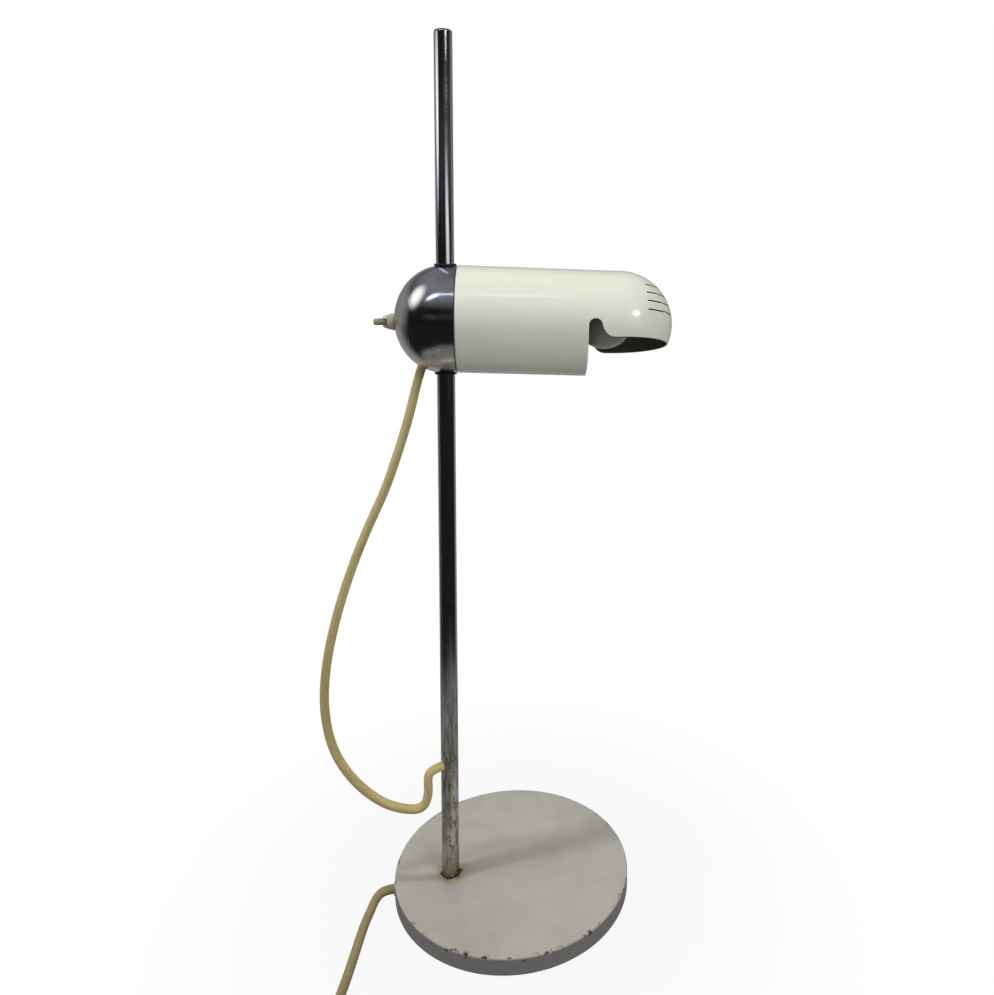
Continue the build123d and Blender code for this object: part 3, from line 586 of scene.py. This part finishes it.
shade_paint, tree, shader, place = new_material("shade_enamel")
body_start = ((POLE_X + BODY_START) * MM, POLE_Y * MM, HEAD_Z * MM)
body_way = (math.cos(DROOP), 0.0, -math.sin(DROOP))
offset = put(tree, "ShaderNodeVectorMath", {0: place, 1: body_start}, operation="SUBTRACT")
offset = offset.outputs["Vector"]
along = put(tree, "ShaderNodeVectorMath", {0: offset, 1: body_way}, operation="DOT_PRODUCT")
along = along.outputs["Value"]
reach = length_of(tree, offset)
past_nose = maths(tree, "SUBTRACT", along, maths(tree, "MINIMUM", along, NOSE_CENTRE * MM))
off_axis = maths(tree, "SUBTRACT", times(tree, reach, reach), times(tree, along, along))
from_middle = root(tree, maths(tree, "ADD", off_axis, times(tree, past_nose, past_nose)))
inner_edge, outer_edge = (WALL_MIDDLE - WALL_EDGE) * MM, (WALL_MIDDLE + WALL_EDGE) * MM
inside = ramp(tree, from_middle, inner_edge, outer_edge, 1.0, 0.0)
print("inside of the shade: nearer than", WALL_MIDDLE, "mm")

# %% Enamel outside, bare inside
cream = blend_colour(tree, cloud_of(tree, place, 0.035), (0.742, 0.748, 0.640), (0.758, 0.762, 0.660))
speck = use_group(tree, specks, place, Size=0.0012, Cover=0.02, Ragged=0.9)
cream = cover(tree, cream, speck, 0.35, (0.40, 0.34, 0.22))
cream = blend_colour(tree, inside, cream, (0.150, 0.150, 0.120))
gloss = use_group(tree, clouds, place, Size=0.012, Low=0.29, High=0.34)
feed(
    tree,
    shader,
    {"Base Color": cream, "Roughness": gloss, "Coat Weight": 1.0, "Coat Roughness": 0.09},
)
bumped(tree, shader, cloud_of(tree, place, 0.0015), 0.012, 0.0001)
paint_nodes(shade_paint, "shade")

# %% [markdown]
# ## Worn enamel on the base
#
# The base was painted cream too, but it has been stood on, wiped and knocked for years. Its cream
# is much greyer than the shade's, partly from stains and wear and partly as painted shade for the
# weaker light down at the table. Rust has crept out from the foot of the pole, and its rim is
# chipped down to dark iron. Each of these is a mask by place, such as a ring near the rim or a ring
# round the pole, mixed with specks or clouds so that no edge is a clean circle. The side wall is
# painted darker grey, as painted shade.

# %% Stained and dusty paint, greyed partly as painted shade
BASE_RADIUS, _, BASE_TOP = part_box("base_plate")[1]


def from_upright(tree, parts, x, y):
    """Distance from an upright line through x and y."""
    dx = maths(tree, "SUBTRACT", parts["X"], x)
    dy = maths(tree, "SUBTRACT", parts["Y"], y)
    return root(tree, maths(tree, "ADD", times(tree, dx, dx), times(tree, dy, dy)))


base_paint, tree, shader, place = new_material("base_enamel")
parts = parts_of(tree, place)
stain = use_group(tree, clouds, place, Size=0.018, Low=-0.6, High=0.7)
dust = use_group(tree, specks, place, Size=0.0030, Cover=0.10, Ragged=0.8)
# Painted shade in part: this cream is far greyer than the shade's, for stains and wear and for the
# weaker light down at the table.
cream = blend_colour(tree, cloud_of(tree, place, 0.05), (0.355, 0.343, 0.300), (0.415, 0.402, 0.350))
cream = cover(tree, cream, stain, 0.35, (0.32, 0.29, 0.22))
cream = cover(tree, cream, dust, 0.60, (0.16, 0.12, 0.08))
print("base radius", round(BASE_RADIUS, 4), "top", round(BASE_TOP, 4))

# %% Rust round the pole's foot
RUST_END = 19.0
rust_edge = use_group(tree, clouds, place, Size=0.006, Low=-0.0025, High=0.0025)
rust_reach = maths(tree, "ADD", from_upright(tree, parts, POLE_X * MM, POLE_Y * MM), rust_edge)
rust_halo = ramp(tree, rust_reach, 6.5 * MM, RUST_END * MM, 1.0, 0.0)
rust_core = ramp(tree, rust_reach, 6.2 * MM, 9.0 * MM, 1.0, 0.0)
top_only = ramp(tree, parts["Z"], BASE_TOP - 1.0 * MM, BASE_TOP - 0.4 * MM)
cream = cover(tree, cream, times(tree, rust_halo, 0.6), top_only, (0.31, 0.20, 0.09))
cream = cover(tree, cream, rust_core, top_only, (0.085, 0.040, 0.018))
print("rust reaches", RUST_END, "mm from the pole's axis")

# %% Chipped rim, and the side wall darkened as painted shade
chips = use_group(tree, specks, place, Size=0.0055, Cover=0.55, Ragged=0.8)
few_chips = use_group(tree, specks, place, Size=0.0040, Cover=0.22, Ragged=0.8)
rim_zone = ramp(tree, from_upright(tree, parts, 0.0, 0.0), BASE_RADIUS - 3.0 * MM, BASE_RADIUS)
height_zone = ramp(tree, parts["Z"], BASE_TOP - 5.0 * MM, BASE_TOP - 1.8 * MM)
chipped = times(tree, times(tree, chips, rim_zone), height_zone)
chipped = maths(tree, "MAXIMUM", chipped, times(tree, few_chips, rim_zone))
# Painted shade: the side wall gets a darker grey than the top, because less light falls on it.
shaded_wall = ramp(tree, parts["Z"], BASE_TOP - 2.2 * MM, BASE_TOP - 0.8 * MM, 1.0, 0.0)
cream = cover(tree, cream, shaded_wall, 0.85, (0.165, 0.158, 0.160))
cream = blend_colour(tree, chipped, cream, (0.045, 0.030, 0.022))
rough = use_group(tree, clouds, place, Size=0.02, Low=0.36, High=0.52)
rough = maths(tree, "ADD", rough, times(tree, chipped, 0.3))
feed(tree, shader, {"Base Color": cream, "Roughness": rough})
texture = times(tree, cloud_of(tree, place, 0.0025), 0.3)
bumped(tree, shader, maths(tree, "SUBTRACT", texture, chipped), 0.35, 0.0004)
paint_nodes(base_paint, "base_plate")

# %% [markdown]
# ## Chrome on the ball
#
# Chrome is a mirror: what we see in it is the room. Its own look is only a slight blue tint, a haze
# of fine wiping scratches and small pits where damp got in. So the metal is a pale grey, its
# roughness is low and cloudy, and specks darken it. The rear cap is a separate pressing, and duller
# because hands reach for the switch there.

# %% Chrome with haze and pits
def pitted_chrome(name, haze, pits, pit_share, clean, pitted, wave, strength, depth):
    """Chrome whose roughness runs between the two values of haze."""
    material, tree, shader, place = new_material(name)
    rough = use_group(tree, clouds, place, Size=0.012, Low=haze[0], High=haze[1])
    pit = use_group(tree, specks, place, Size=0.0014, Cover=pits, Ragged=0.7)
    metal = blend_colour(tree, times(tree, pit, pit_share), clean, pitted)
    feed(tree, shader, {"Base Color": metal, "Metallic": 1.0, "Roughness": rough})
    bumped(tree, shader, cloud_of(tree, place, wave), strength, depth)
    return material


ball_chrome = pitted_chrome(
    "ball_chrome",
    haze=(0.08, 0.17),
    pits=0.16,
    pit_share=0.7,
    clean=(0.66, 0.67, 0.69),
    pitted=(0.16, 0.13, 0.10),
    wave=0.03,
    strength=0.08,
    depth=0.0006,
)
cap_chrome = pitted_chrome(
    "cap_chrome",
    haze=(0.20, 0.27),
    pits=0.12,
    pit_share=0.6,
    clean=(0.68, 0.68, 0.69),
    pitted=(0.20, 0.17, 0.13),
    wave=0.004,
    strength=0.05,
    depth=0.0002,
)
paint_nodes(ball_chrome, "ball_shell")
paint_nodes(cap_chrome, "rear_cap")

# %% [markdown]
# ## Chrome on the pole
#
# The pole is bright at the top and old at the bottom, where water and dust ran down and stayed. A
# ramp along the height brings in what belongs to the low part: dull patches, dark streaks drawn out
# downwards, crowded pits, and a brown foot. Squeezing the Z coordinate before the clouds are read
# is what draws the streaks out.

# %% Stained and pitted colour of the pole
LOW_POLE_TOP = 0.24
pole_chrome, tree, shader, place = new_material("pole_chrome")
parts = parts_of(tree, place)
low_pole = ramp(tree, parts["Z"], 0.06, LOW_POLE_TOP, 1.0, 0.0)
foot = ramp(tree, parts["Z"], 0.015, 0.05, 1.0, 0.0)
dull = times(tree, cloud_of(tree, place, 0.010), low_pole)
drawn_down = put(tree, "ShaderNodeVectorMath", {0: place, 1: (1.0, 1.0, 0.22)}, operation="MULTIPLY")
run = use_group(tree, clouds, drawn_down.outputs["Vector"], Size=0.0028, Low=-1.7, High=1.7)
run = times(tree, maths(tree, "MAXIMUM", run, 0.0, clamp=True), low_pole)
pits = use_group(tree, specks, place, Size=0.0024, Cover=0.46, Ragged=0.7)
few_pits = use_group(tree, specks, place, Size=0.002, Cover=0.10, Ragged=0.7)
pits = maths(tree, "MAXIMUM", times(tree, pits, low_pole), few_pits)
metal = blend_colour(tree, dull, (0.64, 0.65, 0.67), (0.50, 0.48, 0.45))
metal = cover(tree, metal, run, 0.75, (0.16, 0.145, 0.135))
metal = cover(tree, metal, foot, 0.75, (0.27, 0.235, 0.13))
metal = cover(tree, metal, pits, 0.85, (0.10, 0.065, 0.04))
feed(tree, shader, {"Base Color": metal, "Metallic": 1.0})
print("low part of the pole ends at", LOW_POLE_TOP, "m")

# %% Gloss and relief of the pole
haze = use_group(tree, clouds, place, Size=0.015, Low=0.10, High=0.165)
rough = maths(tree, "ADD", haze, times(tree, low_pole, 0.09))
feed(tree, shader, {"Roughness": maths(tree, "ADD", rough, times(tree, pits, 0.3))})
ripple = cloud_of(tree, place, 0.05)
bumped(tree, shader, maths(tree, "SUBTRACT", ripple, pits), 0.06, 0.0005)
paint_nodes(pole_chrome, "pole")

# %% [markdown]
# ## Plastics, plain metals, ceramic and felt
#
# The switch's nut and the plug are ivory plastic that has yellowed, and fingers have made the
# switch's lever browner. The rings on the pole are black nylon. What sits inside is zinc-plated
# steel, brass and ceramic, and felt keeps the base from scratching the table. They differ in colour
# and gloss and not in kind, so one function makes them all. Each gets a little unevenness, because
# a surface that is the same everywhere looks drawn.

# %% A plain finish with clouds in colour and gloss
def plain_finish(name, nodes, first, second, gloss, metallic=0.0, size=0.01, grain=0.0006, strength=0.1):
    """Paint nodes with two close colours, a cloudy gloss and a fine grain, and give the shader."""
    material, tree, shader, place = new_material(name)
    colour = blend_colour(tree, cloud_of(tree, place, size), first, second)
    rough = use_group(tree, clouds, place, Size=size * 0.6, Low=gloss * 0.85, High=gloss * 1.15)
    feed(tree, shader, {"Base Color": colour, "Roughness": rough, "Metallic": metallic})
    bumped(tree, shader, cloud_of(tree, place, grain), strength, grain * 0.3)
    paint_nodes(material, *nodes)
    return shader


IVORY_PIECES = ("switch_nut", "cord_grommet", "plug_relief", "plug_body")
ivory = plain_finish("ivory_plastic", IVORY_PIECES, (0.38, 0.34, 0.235), (0.50, 0.455, 0.33), 0.34)
ivory.inputs["Subsurface Weight"].default_value = 0.05
plain_finish(
    "lever_plastic", ("switch_lever",), (0.235, 0.215, 0.150), (0.330, 0.305, 0.225), 0.34, size=0.004
)
NYLON_PIECES = ("upper_bush", "lower_bush", "switch_body", "cord_tie")
plain_finish("black_nylon", NYLON_PIECES, (0.012, 0.012, 0.013), (0.022, 0.021, 0.020), 0.42)
plain_finish("black_resin", ("lamp_holder",), (0.015, 0.014, 0.012), (0.028, 0.024, 0.020), 0.34)

# %% Metals, ceramic and felt
STEEL_PIECES = (
    "pole_flange",
    "foot_screws",
    "slide_tube",
    "grip_spring",
    "holder_nipple",
    "nipple_nuts",
    "holder_plate",
    "lever_pin",
    "shade_ring",
)
METAL = {"metallic": 1.0, "size": 0.006}
BRASS_PIECES = ("bulb_cap", "plug_pins")
plain_finish("zinc_steel", STEEL_PIECES, (0.52, 0.53, 0.53), (0.60, 0.60, 0.58), 0.35, **METAL)
plain_finish("brass", BRASS_PIECES, (0.70, 0.53, 0.26), (0.76, 0.60, 0.32), 0.22, **METAL)
plain_finish("ceramic", ("holder_core",), (0.72, 0.70, 0.64), (0.78, 0.76, 0.70), 0.22)
felt = plain_finish(
    "green_felt",
    ("base_felt",),
    (0.030, 0.045, 0.030),
    (0.045, 0.062, 0.042),
    0.95,
    size=0.004,
    grain=0.0009,
    strength=0.8,
)
felt.inputs["Sheen Weight"].default_value = 0.4

# %% [markdown]
# ## Vinyl sheath of the cords
#
# The cord has an old beige sheath with a dull sheen. It was drawn out of a machine, so its streaks
# run lengthwise. They read the tube's own UVs, squeezed along the cord, because Object coordinates
# know nothing of the way a cord runs. Smudges lie anywhere, so Object coordinates do for them.
# Within a few centimetres of the floor the sheath is painted darker and browner, as painted shade.

# %% Streaks, smudges, and painted shade near the floor
sheath, tree, shader, place = new_material("vinyl_sheath")
lengthwise = tree.nodes.new("ShaderNodeTexCoord").outputs["UV"]
drawn_out = put(tree, "ShaderNodeVectorMath", {0: lengthwise, 1: (1.0, 0.12, 1.0)}, operation="MULTIPLY")
streak = use_group(tree, clouds, drawn_out.outputs["Vector"], Size=0.004, Low=-0.3, High=1.0)
smudge = use_group(tree, specks, place, Size=0.005, Cover=0.24, Ragged=0.6)
# Painted shade: the sheath is made darker and browner within a few centimetres of the floor.
painted_dark_near_floor = ramp(tree, parts_of(tree, place)["Z"], 0.012, 0.060, 0.80, 0.0)
vinyl = blend_colour(tree, cloud_of(tree, place, 0.03), (0.46, 0.355, 0.135), (0.57, 0.470, 0.225))
vinyl = cover(tree, vinyl, streak, 0.6, (0.37, 0.285, 0.085))
vinyl = cover(tree, vinyl, smudge, 0.40, (0.20, 0.13, 0.05))
vinyl = blend_colour(tree, painted_dark_near_floor, vinyl, (0.215, 0.172, 0.088))
gloss = use_group(tree, clouds, place, Size=0.01, Low=0.34, High=0.46)
feed(tree, shader, {"Base Color": vinyl, "Roughness": gloss})
bumped(tree, shader, cloud_of(tree, place, 0.0016), 0.12, 0.0003)
paint_nodes(sheath, "cord_inner")
for piece in (loop_lower, loop_upper, mains_lead):
    piece.data.materials.append(sheath)

# %% [markdown]
# ## Opal glass of the bulb
#
# The bulb is off. Its white coating lets light sink in a little, which a touch of subsurface
# scattering gives, and its glass is smooth. It stands in the shade's own shadow, so a pale grey
# looks right where a pure white would seem to glow.

# %% Opal glass
opal, tree, shader, place = new_material("opal_glass")
white = blend_colour(tree, cloud_of(tree, place, 0.02), (0.36, 0.36, 0.33), (0.41, 0.41, 0.38))
gloss = use_group(tree, clouds, place, Size=0.01, Low=0.10, High=0.18)
feed(
    tree,
    shader,
    {"Base Color": white, "Roughness": gloss, "Subsurface Weight": 0.2, "Subsurface Scale": 0.002},
)
paint_nodes(opal, "bulb")

# %% [markdown]
# ## Floor
#
# The lamp stands on a plain floor that fades to white, so that no horizon shows. White paper would
# do this in a studio, but it would also light the shade from below. So the paper itself is grey,
# and glows white only for rays that come from the camera, a mirror or glass. Near the lamp a
# little of the grey is left, so that the lamp's shadow shows.

# %% Floor that is grey paper and looks white
WHITE_SHARE_NEAR = 0.92
FADE_START, FADE_END = 0.11, 0.32


def seen_rays(tree):
    """1 for rays from the camera, a mirror or glass, and 0 for the rays that carry light."""
    path = tree.nodes.new("ShaderNodeLightPath").outputs
    seen = maths(tree, "MAXIMUM", path["Is Camera Ray"], path["Is Glossy Ray"])
    return maths(tree, "MAXIMUM", seen, path["Is Transmission Ray"])


def mix_shaders(tree, factor, first, second, end):
    """Send a mix of two shaders to an output node."""
    mixed = put(tree, "ShaderNodeMixShader", {"Fac": factor, 1: first, 2: second})
    feed(tree, tree.nodes[end], {"Surface": mixed.outputs["Shader"]})


bpy.ops.object.select_all(action="DESELECT")
bpy.ops.mesh.primitive_grid_add(x_subdivisions=2, y_subdivisions=2, size=40.0, location=(0, 0, 0))
floor = bpy.context.active_object
floor.name = "floor"
floor_paint, tree, shader, place = new_material("floor_paper")
paper = blend_colour(tree, cloud_of(tree, place, 0.8), (0.24, 0.24, 0.235), (0.26, 0.26, 0.255))
feed(tree, shader, {"Base Color": paper, "Roughness": 0.9})
glow = put(tree, "ShaderNodeEmission", {"Color": (1.0, 1.0, 1.0, 1.0), "Strength": 1.0})
fade = ramp(tree, length_of(tree, place), FADE_START, FADE_END, WHITE_SHARE_NEAR, 1.0)
shown = times(tree, seen_rays(tree), fade)
mix_shaders(tree, shown, shader.outputs["BSDF"], glow.outputs["Emission"], "Material Output")
floor.data.materials.append(floor_paint)
print("floor", [round(s, 2) for s in floor.dimensions])

# %% [markdown]
# ## A room for the mirrors
#
# Chrome and gloss show what stands round the lamp. A white studio would leave them blank, so a
# mirror room is built for them alone: a grey dome, a ground and a few glowing cards. Only glossy
# rays see it, so it throws no light and no shadow. The dome is dark in front, where the unlit room
# was, a little lighter low on the right, and pale behind the lamp and overhead.

# %% Stage pieces that only glossy rays see
def mirror_only(obj, material):
    """Show a stage piece to glossy rays alone."""
    obj.data.materials.append(material)
    obj.visible_camera = False
    obj.visible_diffuse = False
    obj.visible_transmission = False
    obj.visible_shadow = False
    obj.visible_volume_scatter = False


def glow_material(name):
    """A black material that only glows, in the colour that its Emission Color is given."""
    material, tree, shader, place = new_material(name)
    values = {"Base Color": (0.0, 0.0, 0.0, 1.0), "Specular IOR Level": 0.0, "Emission Strength": 1.0}
    feed(tree, shader, values)
    return material, tree, shader, place


print("mirror room ready to build")

# %% Grey dome
ROOM_RADIUS, ROOM_CENTRE_Z = 3.0, 0.45
bpy.ops.object.select_all(action="DESELECT")
bpy.ops.mesh.primitive_uv_sphere_add(
    segments=96, ring_count=48, radius=ROOM_RADIUS, location=(0, 0, ROOM_CENTRE_Z)
)
dome = bpy.context.active_object
dome.name = "mirror_dome"
dome_paint, tree, shader, place = glow_material("dome_grey")
parts = parts_of(tree, place)
to_right = maths(tree, "DIVIDE", parts["X"], ROOM_RADIUS)
to_back = maths(tree, "DIVIDE", parts["Y"], ROOM_RADIUS)
rise = maths(tree, "DIVIDE", parts["Z"], ROOM_RADIUS)
low_band = times(tree, ramp(tree, rise, 0.03, 0.16), ramp(tree, rise, 0.16, 0.34, 1.0, 0.0))
low_right = times(tree, low_band, ramp(tree, to_right, -0.45, 0.25))
low_back = times(tree, ramp(tree, to_back, -0.15, 0.55), ramp(tree, rise, 0.25, 0.60, 1.0, 0.0))
grey = blend_colour(tree, low_right, (0.011, 0.010, 0.010), (0.055, 0.055, 0.058))
grey = blend_colour(tree, ramp(tree, rise, 0.34, 0.80), grey, (0.205, 0.210, 0.220))
grey = blend_colour(tree, low_back, grey, (0.27, 0.27, 0.265))
patch = use_group(tree, clouds, place, Size=1.6, Low=0.75, High=1.25)
uneven = put(tree, "ShaderNodeVectorMath", {0: grey, "Scale": patch}, operation="SCALE")
feed(tree, shader, {"Emission Color": uneven.outputs["Vector"]})
mirror_only(dome, dome_paint)
print("dome radius", ROOM_RADIUS)

# %% [markdown]
# The chrome's lower half shows the ground. Round the lamp lies a pale mat with a soft, uneven edge,
# which gives the ball its cloudy grey underside. Past the mat the ground is dark in front and pale
# behind. It lies a hair above the floor, so that mirrors see it and not the white floor.

# %% Dark ground with a pale mat
ABOVE_FLOOR = 0.0002
MAT_EDGE_START, MAT_EDGE_END = 0.27, 0.44
bpy.ops.object.select_all(action="DESELECT")
bpy.ops.mesh.primitive_circle_add(
    vertices=96, radius=ROOM_RADIUS, fill_type="NGON", location=(0, 0, ABOVE_FLOOR)
)
ground = bpy.context.active_object
ground.name = "mirror_ground"
ground_paint, tree, shader, place = glow_material("ground_dark")
mat_wobble = use_group(tree, clouds, place, Size=0.25, Low=-0.05, High=0.05)
reach = length_of(tree, place)
mat_share = ramp(tree, maths(tree, "ADD", reach, mat_wobble), MAT_EDGE_START, MAT_EDGE_END, 1.0, 0.0)
mat_colour = blend_colour(tree, cloud_of(tree, place, 0.15), (0.150, 0.142, 0.135), (0.30, 0.285, 0.27))
behind = ramp(tree, maths(tree, "DIVIDE", parts_of(tree, place)["Y"], reach), 0.10, 0.80)
far_colour = blend_colour(tree, behind, (0.014, 0.013, 0.013), (0.34, 0.33, 0.325))
feed(tree, shader, {"Emission Color": blend_colour(tree, mat_share, far_colour, mat_colour)})
mirror_only(ground, ground_paint)
print("ground and mat ready")

# %% [markdown]
# ### Glowing cards
#
# Each bright shape that the photograph shows in the chrome or the enamel is the picture of a lamp,
# a window or a pale wall. A mirrored ball turns a place on it into a direction, so each card is set
# by the direction in which the ball sees it, and by its size in degrees. Most cards stand far away.
# The one on the left stands close, because its picture shows in the ball and in the pole at places
# that only a near thing can have.

# %% Cards by their direction from the ball
BALL_CENTRE = Vector((POLE_X * MM, POLE_Y * MM, HEAD_Z * MM))


def card(name, azimuth, rise, width, height, colour, tilt=0.0, distance=2.4, soft=0.5):
    """A glowing card that faces the ball from a direction in degrees, with a soft round edge."""
    a, e = math.radians(azimuth), math.radians(rise)
    away = Vector((math.cos(e) * math.cos(a), math.cos(e) * math.sin(a), math.sin(e)))
    bpy.ops.object.select_all(action="DESELECT")
    bpy.ops.mesh.primitive_grid_add(x_subdivisions=8, y_subdivisions=8, size=1.0)
    obj = bpy.context.active_object
    obj.name = name
    obj.location = BALL_CENTRE + away * distance
    facing = (-away).to_track_quat("Z", "Y")
    obj.rotation_mode = "QUATERNION"
    obj.rotation_quaternion = facing @ Matrix.Rotation(math.radians(tilt), 3, "Z").to_quaternion()
    one_degree = 2 * distance * math.tan(math.radians(0.5))
    obj.scale = (width * one_degree, height * one_degree, 1.0)
    material, tree, shader, place = glow_material(name + "_glow")
    feed(tree, shader, {"Emission Color": (*colour, 1.0)})
    share = ramp(tree, length_of(tree, place), 0.5 * (1.0 - soft), 0.5, 1.0, 0.0)
    clear = tree.nodes.new("ShaderNodeBsdfTransparent")
    mix_shaders(tree, share, clear.outputs["BSDF"], shader.outputs["BSDF"], "Material Output")
    mirror_only(obj, material)


card("card_window", -50.0, 2.0, 66.0, 15.0, (1.05, 1.05, 1.12), tilt=8.0, soft=0.6)
card("card_left", -171.0, 36.5, 46.0, 54.0, (1.50, 1.45, 1.47), distance=0.31, soft=0.75)
card("card_tube", -121.8, 50.0, 44.0, 8.5, (2.7, 2.7, 3.9), tilt=-36.3, soft=0.6)
card("card_tube_end", -84.4, 59.2, 15.0, 4.5, (4.2, 4.2, 5.6), tilt=-19.5, soft=0.6)
card("card_spot", -53.4, 25.0, 19.0, 13.0, (9.0, 9.0, 8.8), distance=2.5, soft=0.35)
card("card_front", -118.0, 8.0, 60.0, 15.0, (0.040, 0.043, 0.048), soft=0.7)

# %% [markdown]
# ## World and lamps
#
# The world lights the lamp softly from all round, and is white behind it. The rest comes from area
# lamps: a small one high on the left draws the shade's shadow on the base, and three wide ones
# shape the shade from the left, the front and the back. Mirrors don't show the lamps, because the
# cards are there for that.

# %% White surroundings
AMBIENT = 0.50
world = bpy.data.worlds.new("studio")
bpy.context.scene.world = world
world.use_nodes = True
tree = world.node_tree
backdrop = tree.nodes["Background"]
feed(tree, backdrop, {"Color": (0.97, 0.98, 1.0, 1.0), "Strength": AMBIENT})
white = put(tree, "ShaderNodeBackground", {"Color": (1.0, 1.0, 1.0, 1.0), "Strength": 1.0})
surroundings = (backdrop.outputs["Background"], white.outputs["Background"])
mix_shaders(tree, seen_rays(tree), *surroundings, "World Output")
print("world:", world.name)

# %% Lamps
def soft_lamp(name, place, aim, size, power, colour=(1.0, 1.0, 1.0)):
    """A square area lamp that points at a place, and that mirrors don't show."""
    data = bpy.data.lights.new(name, "AREA")
    data.shape = "RECTANGLE"
    data.size, data.size_y = size, size
    data.energy = power
    data.color = colour
    lamp = bpy.data.objects.new(name, data)
    lamp.location = place
    lamp.rotation_euler = (Vector(aim) - Vector(place)).to_track_quat("-Z", "Y").to_euler()
    lamp.visible_glossy = False
    bpy.context.scene.collection.objects.link(lamp)


soft_lamp("key_lamp", (-0.50, -0.13, 1.42), (0.0, 0.0, 0.1), 0.07, 5.7, (1.0, 0.99, 0.97))
soft_lamp("left_lamp", (-1.15, -0.10, 0.72), (0.0, 0.0, 0.10), 0.5, 3.6)
soft_lamp("front_lamp", (0.62, -0.95, 1.05), (0.05, 0.0, 0.40), 0.6, 6.4)
soft_lamp("back_lamp", (-0.25, 0.9, 1.30), (0.0, 0.0, 0.2), 0.4, 2.8)
bpy.context.scene.view_settings.view_transform = "Standard"

# %% [markdown]
# ## The end
#
# The last cell brings the places of all objects up to date.

# %% The end
bpy.context.view_layer.update()
